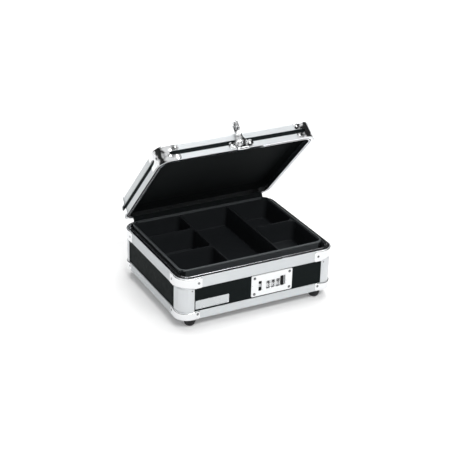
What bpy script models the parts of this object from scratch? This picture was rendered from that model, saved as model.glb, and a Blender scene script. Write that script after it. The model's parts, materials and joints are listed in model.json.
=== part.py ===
"""Lockable cash box: aluminium-framed case, hinged lid, hasp, dial lock and lift-out tray.

Metres, +Z up. The stored pose has the lid open at LID_OPEN. The box front faces -Y. Shapes are
laid out in "box" coordinates, with the lid shut, the middle of the box at x = y = 0 and the
floor at z = 0. Empties on the joint axes then carry the moving pieces to the stored pose, and
the root empty shifts everything by CASE_SHIFT_Y, which centres the open box on the origin.
"""

import math

import bmesh
import bpy
from mathutils import Matrix, Vector

# Driving dimensions
WIDTH = 0.2540
DEPTH = 0.2048
CORNER_R = 0.0200
FOOT_HEIGHT = 0.0155
BOTTOM_BAND = 0.0132
PANEL_SHOWN = 0.0372
TOP_BAND = 0.0171
LID_HEIGHT = 0.0248
LID_OPEN = math.radians(47.1)
CASE_SHIFT_Y = -0.00884

GAP = 0.0003  # left between solids that touch
SKIN = 0.0012  # aluminium wall
POST_IN = 0.0002  # the posts' outer face, just behind the rims'
PANEL = 0.0030  # black panels
LINING = 0.0010

# Heights
FRAME_Z = FOOT_HEIGHT
PANEL_LOW = FRAME_Z + BOTTOM_BAND
PANEL_HIGH = PANEL_LOW + PANEL_SHOWN
RIM_Z = PANEL_HIGH + TOP_BAND
LID_Z = RIM_Z + GAP
LID_TOP = LID_Z + LID_HEIGHT

# Insets from the outer face, and the channel that the walls stand in
PANEL_IN = SKIN + GAP
PANEL_OUT = PANEL_IN + PANEL
LINING_IN = PANEL_OUT + GAP
LINING_OUT = LINING_IN + LINING
CHANNEL = 0.0066  # inner face of the rims' inner flange
RIM_WIDTH = 0.0078
TOP_FLANGE = 0.0100  # inner flange of the base's top rim, down from RIM_Z
BOTTOM_FLANGE = 0.0120
LID_FLANGE = 0.0080
LID_WEB = 0.0035
LID_LOW_BAND = 0.0085  # lid rim's outer face, up from LID_Z
LID_HIGH_BAND = 0.0150  # lower edge of the lid's upper band, up from LID_Z
LID_EDGE_WIDTH = 0.0100
POST_FLAT = 0.00265  # posts' flanges beyond the round edge
CAP_PROUD = 0.0011  # caps' outer face
CAP_TAB_R = 0.0030
TOP_TAB = 0.0150  # caps' tabs beyond the round edge
BOTTOM_TAB = 0.0115
LID_TAB = 0.0130
LID_CAP_FOLD = 0.0085  # how far the lid's caps fold over its top
TONGUE = (0.0045, 0.0060, 0.0012)  # inset from, inset to, height
GROOVE = (0.0041, 0.0064, 0.0019)

# Rear hinges
HINGE_BACK = 0.0049  # axis behind the back face
HINGE_Z = RIM_Z + 0.0010
HINGE_X = 0.0700
HINGE_HALF = 0.0190
KNUCKLE_R = 0.0030
BASE_LEAF_DROP = (0.0150, 0.0030)  # base leaf below the rim
LID_LEAF_RISE = (0.0050, 0.0170)  # lid leaf above the lid's lower edge
PIN_R = 0.0014
PIN_BORE_R = 0.0017

# Lock
HASP_X = 0.0015
PLATE_CENTRE = (0.0210, 0.0478)
PLATE_SIZE = (0.0680, 0.0344)
PLATE_PROUD = 0.0003
PLATE_BACK = 0.0012
SLOT_Z = 0.0466
SLOT_SIZE = (0.0050, 0.0160)
DIAL_X = (0.0150, 0.0230, 0.0310)
DIAL_Z = 0.0462
DIAL_R = 0.0076
DIAL_WIDTH = 0.0058
DIAL_DEPTH = 0.0063  # axle behind the outer face
DIAL_WINDOW = (0.0064, 0.0126)
DIAL_BEVEL = 0.0005
HUB_R = 0.0042
HUB_LENGTH = 0.0014
NOTCH_DEPTH = 0.0014
NOTCH_HALF = 0.0008
AXLE_R = 0.0015
AXLE_BORE_R = 0.0018
CASE_X = (-0.0060, 0.0486)
CASE_Z = (0.0334, 0.0622)
CASE_BACK = 0.0152
CASE_WALL = 0.0010
LUG_T = 0.0012
LUG_HALF = 0.0050
LEFT_LUG_OFF = 0.0050  # from the first dial's middle, clear of its hub
RIGHT_LUG_OFF = 0.0034
RIVET_INSET = (0.0050, 0.0044)  # from the plate's edges
RIVET_SHANK_R = 0.0010
RIVET_HOLE_R = 0.0014
RIVET_HEAD_R = 0.0021
RIVET_HEAD_T = 0.0009
BOLT_TRAVEL = 0.0034
THUMB_X = (0.0352, 0.0396)
THUMB_Z = (0.0412, 0.0556)
BOLT_IN = (0.0019, 0.0046)
BOLT_X = (0.0002, 0.0070)
BOLT_HALF = 0.0025
NECK_X = (0.0052, 0.0069)
LINK_X = (0.0053, 0.0402)
LINK_Z = (0.0349, 0.0375)
TAIL_X = (0.0350, 0.0400)
TAIL_TOP = 0.0392
COVER_X = (0.0346, 0.0436)  # slider's cover plate, behind its window
COVER_Z = (0.0395, 0.0572)
COVER_T = 0.0012
THUMB_PROUD = 0.0020
SPRING_X = (0.0439, 0.0470)
SPRING_R = 0.0010
SPRING_WIRE_R = 0.00022
SPRING_TURNS = 4

# Hasp
HASP_AXIS_PROUD = 0.0028
HASP_AXIS_Z = RIM_Z - 0.0005
HASP_BARREL_R = 0.0021
HASP_PIN_R = 0.0009
HASP_BORE_R = 0.0012
HASP_KNUCKLE = 0.0044  # half length of the arm's own knuckle
HASP_BARREL_HALF = 0.0088
ARM_LENGTH = 0.0420
ARM_T = 0.0012
STAPLE_LENGTH = 0.0112
STAPLE_T = 0.0024
STAPLE_LEG = 0.0024
STAPLE_REACH = 0.0072  # behind the outer face when locked

# Tray
TRAY_X = 0.1181
TRAY_Y = (-0.0850, 0.0935)
TRAY_R = 0.0130
TRAY_TOP = RIM_Z + 0.0052
TRAY_HEIGHT = 0.0380
TRAY_WALL = 0.0022
TRAY_LIP = 0.0010
DIVIDER = 0.0020
DIVIDER_DROP = 0.0030
LEFT_DIVIDER_X = -0.0380
RIGHT_DIVIDER_X = 0.0450
LEFT_CROSS_Y = (-0.0240, 0.0400)
RIGHT_CROSS_Y = 0.0030
OUTER_CELL_R = 0.0095
INNER_CELL_R = 0.0060

LEDGE_IN = 0.0170  # ledges under the tray: reach from the side, depth and thickness
LEDGE_Y = (-0.0600, 0.0700)
LEDGE_T = 0.0060

FOOT_R = 0.0090
FOOT_AT = (0.1040, 0.0860)
BADGE_X = (-0.1028, -0.0490)
BADGE_Z = (0.0317, 0.0457)
BADGE_BACK = 0.0004

MATERIALS = {
    "aluminium": ((0.80, 0.82, 0.84), 0.9, 0.32),
    "chrome": ((0.86, 0.87, 0.89), 1.0, 0.12),
    "steel": ((0.62, 0.63, 0.65), 1.0, 0.28),
    "black_panel": ((0.016, 0.019, 0.020), 0.0, 0.42),
    "lining": ((0.008, 0.009, 0.010), 0.0, 0.95),
    "tray_plastic": ((0.022, 0.025, 0.028), 0.0, 0.36),
    "rubber": ((0.010, 0.010, 0.010), 0.0, 0.75),
    "dial": ((0.70, 0.71, 0.73), 0.9, 0.30),
    "slider": ((0.03, 0.03, 0.03), 0.2, 0.40),
}


def clear_scene():
    for obj in list(bpy.data.objects):
        bpy.data.objects.remove(obj, do_unlink=True)


def material(name):
    """The Principled material of one slot."""
    found = bpy.data.materials.get(name)
    if found:
        return found
    colour, metallic, roughness = MATERIALS[name]
    found = bpy.data.materials.new(name)
    found.use_nodes = True
    shader = found.node_tree.nodes["Principled BSDF"]
    shader.inputs["Base Color"].default_value = (*colour, 1.0)
    shader.inputs["Metallic"].default_value = metallic
    shader.inputs["Roughness"].default_value = roughness
    return found


def add(name, bm, slot):
    """A named object from a bmesh, with its faces pointing out."""
    bmesh.ops.recalc_face_normals(bm, faces=bm.faces)
    mesh = bpy.data.meshes.new(name)
    bm.to_mesh(mesh)
    bm.free()
    mesh.shade_smooth()
    mesh.set_sharp_from_angle(angle=math.radians(35))
    mesh.materials.append(material(slot))
    obj = bpy.data.objects.new(name, mesh)
    bpy.context.collection.objects.link(obj)
    return obj


def helper(obj):
    """Marks a Boolean's other object, which isn't a piece itself."""
    obj.hide_render = True
    obj.display_type = "WIRE"
    return obj


def boolean(obj, other, operation):
    modifier = obj.modifiers.new(f"{operation.lower()} {other.name}", "BOOLEAN")
    modifier.operation = operation
    modifier.solver = "EXACT"
    modifier.object = helper(other)


def cut(obj, *cutters):
    for cutter in cutters:
        boolean(obj, cutter, "DIFFERENCE")
    return obj


def join(obj, *others):
    for other in others:
        boolean(obj, other, "UNION")
    return obj


def loft(loops, closed=False):
    """A bmesh skinned over loops of equal length: a ring if closed, else capped at both ends."""
    bm = bmesh.new()
    rows = [[bm.verts.new(p) for p in loop] for loop in loops]
    count = len(rows[0])
    pairs = list(zip(rows, rows[1:] + rows[:1])) if closed else list(zip(rows, rows[1:]))
    for low, high in pairs:
        for i in range(count):
            j = (i + 1) % count
            bm.faces.new((low[i], low[j], high[j], high[i]))
    if not closed:
        bm.faces.new(reversed(rows[0]))
        bm.faces.new(rows[-1])
    return bm


def box(name, slot, x, y, z):
    """An upright block between two limits on each axis."""
    loops = [[(x[0], y[0], h), (x[1], y[0], h), (x[1], y[1], h), (x[0], y[1], h)] for h in z]
    return add(name, loft(loops), slot)


def rounded_rect(x, y, radius, steps=7):
    """The points of a rectangle with round corners, counter-clockwise from above."""
    corners = (
        (x[1] - radius, y[0] + radius, -90),
        (x[1] - radius, y[1] - radius, 0),
        (x[0] + radius, y[1] - radius, 90),
        (x[0] + radius, y[0] + radius, 180),
    )
    points = []
    for cx, cy, start in corners:
        for step in range(steps + 1):
            angle = math.radians(start + 90 * step / steps)
            points.append((cx + radius * math.cos(angle), cy + radius * math.sin(angle)))
    return points


def case_loop(inset, z, least_radius=0.003):
    """The box outline, moved in by an inset, at one height."""
    x, y = WIDTH / 2 - inset, DEPTH / 2 - inset
    radius = max(CORNER_R - inset, least_radius)
    return [(px, py, z) for px, py in rounded_rect((-x, x), (-y, y), radius)]


def ring(name, slot, profile):
    """A frame that runs round the whole box; its profile is (inset, height) points."""
    return add(name, loft([case_loop(i, z) for i, z in profile], closed=True), slot)


def slab(name, slot, profile):
    """A panel or tub with the box's outline at each (inset, height) point, capped at both ends."""
    return add(name, loft([case_loop(i, z) for i, z in profile]), slot)


def prism_y(name, slot, outline, y):
    """An (x, z) outline pushed through a wall, from y[0] to y[1]."""
    loops = [[(px, depth, pz) for px, pz in outline] for depth in y]
    return add(name, loft(loops), slot)


def prism_x(name, slot, outline, x):
    """A (y, z) outline pushed along the width of the box."""
    loops = [[(width, py, pz) for py, pz in outline] for width in x]
    return add(name, loft(loops), slot)


def cylinder_x(name, slot, x, y, z, radius, steps=20):
    angles = [2 * math.pi * i / steps for i in range(steps)]
    outline = [(y + radius * math.cos(a), z + radius * math.sin(a)) for a in angles]
    return prism_x(name, slot, outline, x)


def turned(profile, steps=20):
    """A solid of revolution about Z through (radius, height) points, as loops for loft."""
    angles = [2 * math.pi * i / steps for i in range(steps)]
    return [[(r * math.cos(a), r * math.sin(a), z) for a in angles] for r, z in profile]


def corner_point(s, proud, z, side):
    """A point on the outline near a corner, s along it from the middle of the arc."""
    arc = CORNER_R * math.pi / 4
    cx, cy = WIDTH / 2 - CORNER_R, DEPTH / 2 - CORNER_R
    if abs(s) <= arc:
        angle = math.pi / 4 + s / CORNER_R
        x = cx + (CORNER_R + proud) * math.cos(angle)
        y = cy + (CORNER_R + proud) * math.sin(angle)
    elif s > 0:
        x, y = cx - (s - arc), DEPTH / 2 + proud
    else:
        x, y = WIDTH / 2 + proud, cy - (-s - arc)
    return (side[0] * x, side[1] * y, z)


def corner_shell(name, slot, side, levels, columns):
    """A thin shell round one vertical edge; levels are (flat beyond the arc, inner, outer).

    Inner and outer are each a (proud, height) point of the shell's two faces.
    """
    bm = bmesh.new()
    arc = CORNER_R * math.pi / 4
    back, front = [], []
    for flat, *faces in levels:
        spans = [(arc + flat) * (2 * c / columns - 1) for c in range(columns + 1)]
        for sheet, (proud, z) in zip((back, front), faces):
            sheet.append([bm.verts.new(corner_point(s, proud, z, side)) for s in spans])
    last = len(levels) - 1
    for r in range(last):
        for c in range(columns):
            for rows in (back, front):
                bm.faces.new((rows[r][c], rows[r][c + 1], rows[r + 1][c + 1], rows[r + 1][c]))
        for c in (0, columns):
            bm.faces.new((back[r][c], front[r][c], front[r + 1][c], back[r + 1][c]))
    for c in range(columns):
        for r in (0, last):
            bm.faces.new((back[r][c], back[r][c + 1], front[r][c + 1], front[r][c]))
    return add(name, bm, slot)


def corner_plate(name, side, outline):
    """A cap's shell round one vertical edge, from (s, low, high) points of half its outline."""
    whole = [(-s, low, high) for s, low, high in reversed(outline[1:])] + outline
    loops = []
    for s, low, high in whole:
        corners = ((GAP, low), (CAP_PROUD, low), (CAP_PROUD, high), (GAP, high))
        loops.append([corner_point(s, proud, z, side) for proud, z in corners])
    return add(name, loft(loops), "chrome")


def cap_outline(arch, middle, tab, end):
    """Half a base cap's outline: curved where it crosses the post, then a round-ended tab.

    Arch is the (low, high) heights at the middle of the corner, middle those at the post's
    edge, and tab those of the tab, which ends at s = end.
    """
    post_edge = CORNER_R * math.pi / 4 + POST_FLAT
    points = []
    for n in range(8):
        share = n / 7
        heights = [a + (m - a) * share**2 for a, m in zip(arch, middle)]
        points.append((post_edge * share, *heights))
    points.append((post_edge + GAP, *tab))
    for n in range(5):
        angle = math.radians(90 * n / 5)
        drop = CAP_TAB_R * (1 - math.cos(angle))
        s = end - CAP_TAB_R + CAP_TAB_R * math.sin(angle)
        points.append((s, tab[0] + drop, tab[1] - drop))
    return points


def upright(levels, inner, outer):
    """Shell levels that all stand upright, from (height, flat beyond the arc) pairs."""
    return [(flat, (inner, z), (outer, z)) for z, flat in levels]


def pivot(name, place, parent=None, parent_place=(0, 0, 0), turn=0.0):
    """An empty on a joint's axis, in box coordinates, turned about X."""
    empty = bpy.data.objects.new(name, None)
    bpy.context.collection.objects.link(empty)
    empty.location = Vector(place) - Vector(parent_place)
    empty.rotation_euler = (turn, 0, 0)
    empty.parent = parent
    empty["place"] = place
    return empty


def carry(empty, *objects):
    """Hands objects, and their Boolean helpers, to an empty, with its axis as their origin."""
    offset = Matrix.Translation(-Vector(empty["place"]))
    for obj in objects:
        helpers = [m.object for m in obj.modifiers if m.type == "BOOLEAN"]
        for piece in [obj, *helpers]:
            if piece.parent is None:
                piece.data.transform(offset)
                piece.parent = empty
            carry(empty, *[h for h in helpers if h.parent is None])


CORNERS = {
    "front_left": (-1, -1),
    "front_right": (1, -1),
    "back_left": (-1, 1),
    "back_right": (1, 1),
}
FRONT = -DEPTH / 2
BACK = DEPTH / 2


def rect(x, z, radius, steps=3):
    """An upright (x, z) rectangle with round corners."""
    return rounded_rect(x, z, radius, steps)


def centred(centre, size):
    """Limits of a rectangle about its centre."""
    return [(c - s / 2, c + s / 2) for c, s in zip(centre, size)]


def base_frame():
    bottom = ring(
        "base_bottom_rim",
        "aluminium",
        [
            (0.0, FRAME_Z + 0.001),
            (0.0, PANEL_LOW),
            (SKIN, PANEL_LOW),
            (SKIN, FRAME_Z + SKIN),
            (BOTTOM_FLANGE, FRAME_Z + SKIN),
            (BOTTOM_FLANGE, FRAME_Z),
            (0.001, FRAME_Z),
        ],
    )
    top = ring(
        "base_top_rim",
        "aluminium",
        [
            (0.0, PANEL_HIGH),
            (0.0, RIM_Z - 0.0006),
            (0.0006, RIM_Z),
            (TONGUE[0], RIM_Z),
            (TONGUE[0], RIM_Z + TONGUE[2]),
            (TONGUE[1], RIM_Z + TONGUE[2]),
            (TONGUE[1], RIM_Z),
            (RIM_WIDTH, RIM_Z),
            (RIM_WIDTH, RIM_Z - TOP_FLANGE),
            (CHANNEL, RIM_Z - TOP_FLANGE),
            (CHANNEL, RIM_Z - SKIN),
            (SKIN, RIM_Z - SKIN),
            (SKIN, PANEL_HIGH),
        ],
    )
    top_edge = cap_outline(
        arch=(PANEL_HIGH + 0.0030, RIM_Z - 0.0008),
        middle=(PANEL_HIGH, RIM_Z - 0.0008),
        tab=(PANEL_HIGH - 0.0008, RIM_Z - 0.0008),
        end=CORNER_R * math.pi / 4 + TOP_TAB,
    )
    bottom_edge = cap_outline(
        arch=(FRAME_Z + 0.0006, PANEL_LOW - 0.0018),
        middle=(FRAME_Z + 0.0006, PANEL_LOW - 0.0002),
        tab=(FRAME_Z + 0.0006, PANEL_LOW - 0.0002),
        end=CORNER_R * math.pi / 4 + BOTTOM_TAB,
    )
    pieces = [bottom, top]
    for corner, side in CORNERS.items():
        ends = [(PANEL_LOW + GAP, POST_FLAT), (PANEL_HIGH - GAP, POST_FLAT)]
        levels = upright(ends, -SKIN, -POST_IN)
        pieces.append(corner_shell(f"post_{corner}", "aluminium", side, levels, 10))
        pieces.append(corner_plate(f"top_cap_{corner}", side, top_edge))
        pieces.append(corner_plate(f"bottom_cap_{corner}", side, bottom_edge))
    return pieces


def base_walls():
    """The four wall panels, the floor panel and the lining tub."""
    low, high = FRAME_Z + SKIN + GAP + PANEL + GAP, RIM_Z - SKIN - GAP
    along_x = WIDTH / 2 - CORNER_R - GAP
    along_y = DEPTH / 2 - CORNER_R - GAP
    front_y = (FRONT + PANEL_IN, FRONT + PANEL_OUT)
    front = box("front_panel", "black_panel", (-along_x, along_x), front_y, (low, high))
    back_y = (BACK - PANEL_OUT, BACK - PANEL_IN)
    back = box("back_panel", "black_panel", (-along_x, along_x), back_y, (low, high))
    side = WIDTH / 2
    left_x, right_x = (PANEL_IN - side, PANEL_OUT - side), (side - PANEL_OUT, side - PANEL_IN)
    left = box("left_panel", "black_panel", left_x, (-along_y, along_y), (low, high))
    right = box("right_panel", "black_panel", right_x, (-along_y, along_y), (low, high))
    step, edge = FRAME_Z + SKIN + GAP, BOTTOM_FLANGE + GAP
    floor = slab(
        "bottom_panel",
        "black_panel",
        [(edge, FRAME_Z), (edge, step), (PANEL_IN, step), (PANEL_IN, step + PANEL)],
    )
    lining = slab(
        "base_lining",
        "lining",
        [(LINING_IN, low), (LINING_IN, high), (LINING_OUT, high), (LINING_OUT, low + LINING)],
    )
    case_hole = box(
        "case_hole",
        "lining",
        (CASE_X[0] - GAP, CASE_X[1] + GAP),
        (FRONT - 0.002, FRONT + LINING_OUT + 0.004),
        (CASE_Z[0] - GAP, CASE_Z[1] + GAP),
    )
    cut(front, case_hole, *rivet_holes())
    cut(lining, case_hole)
    ledges = [
        box(
            f"tray_ledge_{name}",
            "lining",
            sorted((sign * (side - LEDGE_IN), sign * (side - LINING_OUT - GAP))),
            LEDGE_Y,
            (TRAY_TOP - TRAY_HEIGHT - GAP - LEDGE_T, TRAY_TOP - TRAY_HEIGHT - GAP),
        )
        for name, sign in (("left", -1), ("right", 1))
    ]
    return [front, back, left, right, floor, lining, *ledges]


def feet():
    profile = [
        (0.0040, 0.0),
        (0.0056, 0.0004),
        (0.0071, 0.0018),
        (0.0082, 0.0042),
        (0.0088, 0.0075),
        (FOOT_R, 0.0110),
        (FOOT_R, FOOT_HEIGHT - GAP),
    ]
    pieces = []
    for corner, side in CORNERS.items():
        foot = add(f"foot_{corner}", loft(turned(profile, 24)), "rubber")
        at = Vector((side[0] * FOOT_AT[0], side[1] * FOOT_AT[1], 0))
        foot.data.transform(Matrix.Translation(at))
        pieces.append(foot)
    return pieces


def rivet_places():
    (x0, x1), (z0, z1) = centred(PLATE_CENTRE, PLATE_SIZE)
    inset_x, inset_z = RIVET_INSET
    return [(x, z) for x in (x0 + inset_x, x1 - inset_x) for z in (z0 + inset_z, z1 - inset_z)]


def disc(x, z, radius, steps=12):
    angles = [2 * math.pi * i / steps for i in range(steps)]
    return [(x + radius * math.cos(a), z + radius * math.sin(a)) for a in angles]


def rivet_holes():
    depth = (FRONT - 0.003, FRONT + PANEL_OUT + 0.0005)
    return [
        prism_y(f"rivet_hole_{n}", "steel", disc(x, z, RIVET_HOLE_R), depth)
        for n, (x, z) in enumerate(rivet_places())
    ]


def lock_rivets():
    """Four rivets through the lock plate and the front panel."""
    head = FRONT - PLATE_PROUD - GAP
    pieces = []
    for n, (x, z) in enumerate(rivet_places(), 1):
        profile = [
            (RIVET_SHANK_R, FRONT + PANEL_OUT - 0.0005),
            (RIVET_SHANK_R, head),
            (RIVET_HEAD_R, head),
            (RIVET_HEAD_R - 0.0002, head - 0.0005),
            (RIVET_SHANK_R, head - RIVET_HEAD_T),
        ]
        loops = [[(px, y, pz) for px, pz in disc(x, z, r)] for r, y in profile]
        pieces.append(add(f"lock_rivet_{n}", loft(loops), "chrome"))
    return pieces


def lock_body():
    """The plate, the case behind it, the dials' axle, the bolt's spring and the name badge."""
    (x0, x1), (z0, z1) = centred(PLATE_CENTRE, PLATE_SIZE)
    plate_y = (FRONT - PLATE_PROUD, FRONT + PLATE_BACK)
    through = (FRONT - 0.004, FRONT + 0.006)
    plate = prism_y("lock_plate", "chrome", rect((x0, x1), (z0, z1), 0.0022), plate_y)
    slot_x, slot_z = centred((HASP_X, SLOT_Z), SLOT_SIZE)
    cut(plate, prism_y("slot_hole", "chrome", rect(slot_x, slot_z, 0.0006), through))
    for n, dial_x in enumerate(DIAL_X, 1):
        window_x, window_z = centred((dial_x, DIAL_Z), DIAL_WINDOW)
        window = rect(window_x, window_z, 0.0008)
        cut(plate, prism_y(f"dial_window_{n}", "chrome", window, through))
    thumb_x = (THUMB_X[0] - GAP, THUMB_X[1] + BOLT_TRAVEL + GAP)
    thumb_z = (THUMB_Z[0] - GAP, THUMB_Z[1] + GAP)
    cut(plate, prism_y("thumb_window", "chrome", rect(thumb_x, thumb_z, 0.0008), through))
    cut(plate, *[bpy.data.objects[f"rivet_hole_{n}"] for n in range(4)])

    wall = CASE_WALL
    case_y = (FRONT + PANEL_IN, FRONT + CASE_BACK)
    case = box("lock_case", "steel", CASE_X, case_y, CASE_Z)
    inside_x = (CASE_X[0] + wall, CASE_X[1] - wall)
    inside_z = (CASE_Z[0] + wall, CASE_Z[1] - wall)
    inside_y = (case_y[0] - 0.002, case_y[1] - wall)
    cut(case, box("case_inside", "steel", inside_x, inside_y, inside_z))
    axle_y = FRONT + DIAL_DEPTH
    lugs = (
        (DIAL_X[0] - LEFT_LUG_OFF - LUG_T, DIAL_X[0] - LEFT_LUG_OFF),
        (DIAL_X[-1] + RIGHT_LUG_OFF, DIAL_X[-1] + RIGHT_LUG_OFF + LUG_T),
    )
    for n, lug_x in enumerate(lugs, 1):
        lug_y = (axle_y - 0.0012, case_y[1] - wall / 2)
        lug_z = (DIAL_Z - LUG_HALF, DIAL_Z + LUG_HALF)
        lug = box(f"axle_lug_{n}", "steel", lug_x, lug_y, lug_z)
        join(case, lug)
    lug_hole_x = (lugs[0][0] - 0.001, lugs[1][1] + 0.001)
    cut(case, cylinder_x("lug_hole", "steel", lug_hole_x, axle_y, DIAL_Z, AXLE_BORE_R))
    axle_x = (lugs[0][0] + 0.0001, lugs[1][1] - 0.0001)
    axle = cylinder_x("dial_axle", "steel", axle_x, axle_y, DIAL_Z, AXLE_R)
    badge_y = (FRONT + BADGE_BACK, FRONT + PLATE_BACK)
    badge = prism_y("badge_plate", "aluminium", rect(BADGE_X, BADGE_Z, 0.0010), badge_y)
    return [plate, case, axle, bolt_spring(), badge]


def bolt_spring():
    """The bolt's return spring, drawn at its shortest, between the link's end and the case."""
    curve = bpy.data.curves.new("bolt_spring", "CURVE")
    curve.dimensions = "3D"
    curve.bevel_depth = SPRING_WIRE_R
    curve.bevel_resolution = 1
    curve.use_fill_caps = True
    per_turn = 10
    x0, x1 = SPRING_X
    centre = (FRONT + sum(BOLT_IN) / 2, sum(LINK_Z) / 2)
    spline = curve.splines.new("POLY")
    spline.points.add(SPRING_TURNS * per_turn)
    for n, point in enumerate(spline.points):
        share = n / (SPRING_TURNS * per_turn)
        angle = 2 * math.pi * SPRING_TURNS * share
        y = centre[0] + SPRING_R * math.cos(angle)
        z = centre[1] + SPRING_R * math.sin(angle)
        point.co = (x0 + (x1 - x0) * share, y, z, 1)
    curve.materials.append(material("steel"))
    spring = bpy.data.objects.new("bolt_spring", curve)
    bpy.context.collection.objects.link(spring)
    return spring


def dials():
    """Three number wheels, each with a notched hub that gates the bolt."""
    y = FRONT + DIAL_DEPTH
    half = DIAL_WIDTH / 2
    for n, x in enumerate(DIAL_X, 1):
        sections = [
            (x - half - HUB_LENGTH, AXLE_BORE_R),
            (x - half - HUB_LENGTH, HUB_R),
            (x - half, HUB_R),
            (x - half, DIAL_R - DIAL_BEVEL),
            (x - half + DIAL_BEVEL, DIAL_R),
            (x + half - DIAL_BEVEL, DIAL_R),
            (x + half, DIAL_R - DIAL_BEVEL),
            (x + half, AXLE_BORE_R),
        ]
        angles = [2 * math.pi * i / 30 for i in range(30)]
        loops = [
            [(px, y + r * math.cos(a), DIAL_Z + r * math.sin(a)) for a in angles]
            for px, r in sections
        ]
        wheel = add(f"dial_{n}", loft(loops, closed=True), "dial")
        notch_x = (x - half - HUB_LENGTH - 0.0006, x - half - 0.0002)
        notch_y = (y - NOTCH_HALF, y + NOTCH_HALF)
        notch_z = (DIAL_Z + HUB_R - NOTCH_DEPTH, DIAL_Z + HUB_R + 0.0018)
        cut(wheel, box(f"gate_notch_{n}", "dial", notch_x, notch_y, notch_z))
        carry(pivot(f"dial_{n}_axis", (x, y, DIAL_Z), ROOT), wheel)


def release():
    """The thumb slider with its cover plate, and the bolt that it draws back."""
    cover_y = (FRONT + BOLT_IN[0], FRONT + BOLT_IN[0] + COVER_T)
    slider = box("release_slider", "slider", COVER_X, cover_y, COVER_Z)
    thumb_y = (FRONT - PLATE_PROUD - THUMB_PROUD, cover_y[0] + 0.0005)
    join(slider, box("thumb_piece", "slider", THUMB_X, thumb_y, THUMB_Z))
    bolt_y = tuple(FRONT + i for i in BOLT_IN)
    head_z = (SLOT_Z - BOLT_HALF, SLOT_Z + BOLT_HALF)
    bolt = box("lock_bolt", "steel", BOLT_X, bolt_y, head_z)
    neck = box("bolt_neck", "steel", NECK_X, bolt_y, (LINK_Z[0], head_z[1] - 0.0004))
    link = box("bolt_link", "steel", LINK_X, bolt_y, (LINK_Z[0] + 0.0001, LINK_Z[1]))
    tail_y, tail_z = (bolt_y[0] + 0.0001, bolt_y[1]), (LINK_Z[1] - 0.0005, TAIL_TOP)
    join(bolt, neck, link, box("bolt_tail", "steel", TAIL_X, tail_y, tail_z))
    carry(pivot("release_slide_axis", (0.0, FRONT, SLOT_Z), ROOT), slider, bolt)


def knuckles(spans, y, z, radius, name):
    return [
        cylinder_x(f"{name}_knuckle_{n}", "steel", span, y, z, radius)
        for n, span in enumerate(spans, 1)
    ]


def hinges():
    """Two butt hinges across the back of the box: base leaf, lid leaf and pin each."""
    axis_y = BACK + HINGE_BACK
    leaf_y = (BACK + GAP, BACK + GAP + SKIN)
    web_y = (BACK + GAP + 0.0004, axis_y)
    base, lid = [], []
    for side, sign in (("left", -1), ("right", 1)):
        x = sign * HINGE_X
        third = 2 * HINGE_HALF / 3
        ends = [
            (x - HINGE_HALF, x - HINGE_HALF + third - GAP),
            (x + HINGE_HALF - third + GAP, x + HINGE_HALF),
        ]
        middle = (x - third / 2 + GAP / 2, x + third / 2 - GAP / 2)
        leaf_x = (x - HINGE_HALF, x + HINGE_HALF)

        name = f"hinge_base_leaf_{side}"
        leaf_z = tuple(RIM_Z - drop for drop in BASE_LEAF_DROP)
        leaf = box(name, "chrome", leaf_x, leaf_y, leaf_z)
        for n, span in enumerate(ends, 1):
            web_x = (span[0] + 0.0001, span[1] - 0.0001)
            web_z = (leaf_z[1] - 0.0010, HINGE_Z - 0.0010)
            join(leaf, box(f"{name}_web_{n}", "chrome", web_x, web_y, web_z))
        join(leaf, *knuckles(ends, axis_y, HINGE_Z, KNUCKLE_R, name))
        bore_x = (x - HINGE_HALF - 0.002, x + HINGE_HALF + 0.002)
        bore = cylinder_x(f"{name}_bore", "steel", bore_x, axis_y, HINGE_Z, PIN_BORE_R)
        base.append(cut(leaf, bore))

        name = f"hinge_lid_leaf_{side}"
        leaf_z = tuple(LID_Z + rise for rise in LID_LEAF_RISE)
        leaf = box(name, "chrome", leaf_x, leaf_y, leaf_z)
        web_x = (middle[0] + 0.0001, middle[1] - 0.0001)
        web_z = (HINGE_Z + 0.0010, leaf_z[0] + 0.0010)
        join(leaf, box(f"{name}_web", "chrome", web_x, web_y, web_z))
        join(leaf, *knuckles([middle], axis_y, HINGE_Z, KNUCKLE_R, name))
        bore = cylinder_x(f"{name}_bore", "steel", bore_x, axis_y, HINGE_Z, PIN_BORE_R)
        lid.append(cut(leaf, bore))

        pin_x = (x - HINGE_HALF - 0.0006, x + HINGE_HALF + 0.0006)
        base.append(cylinder_x(f"hinge_pin_{side}", "steel", pin_x, axis_y, HINGE_Z, PIN_R))
    return base, lid


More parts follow.
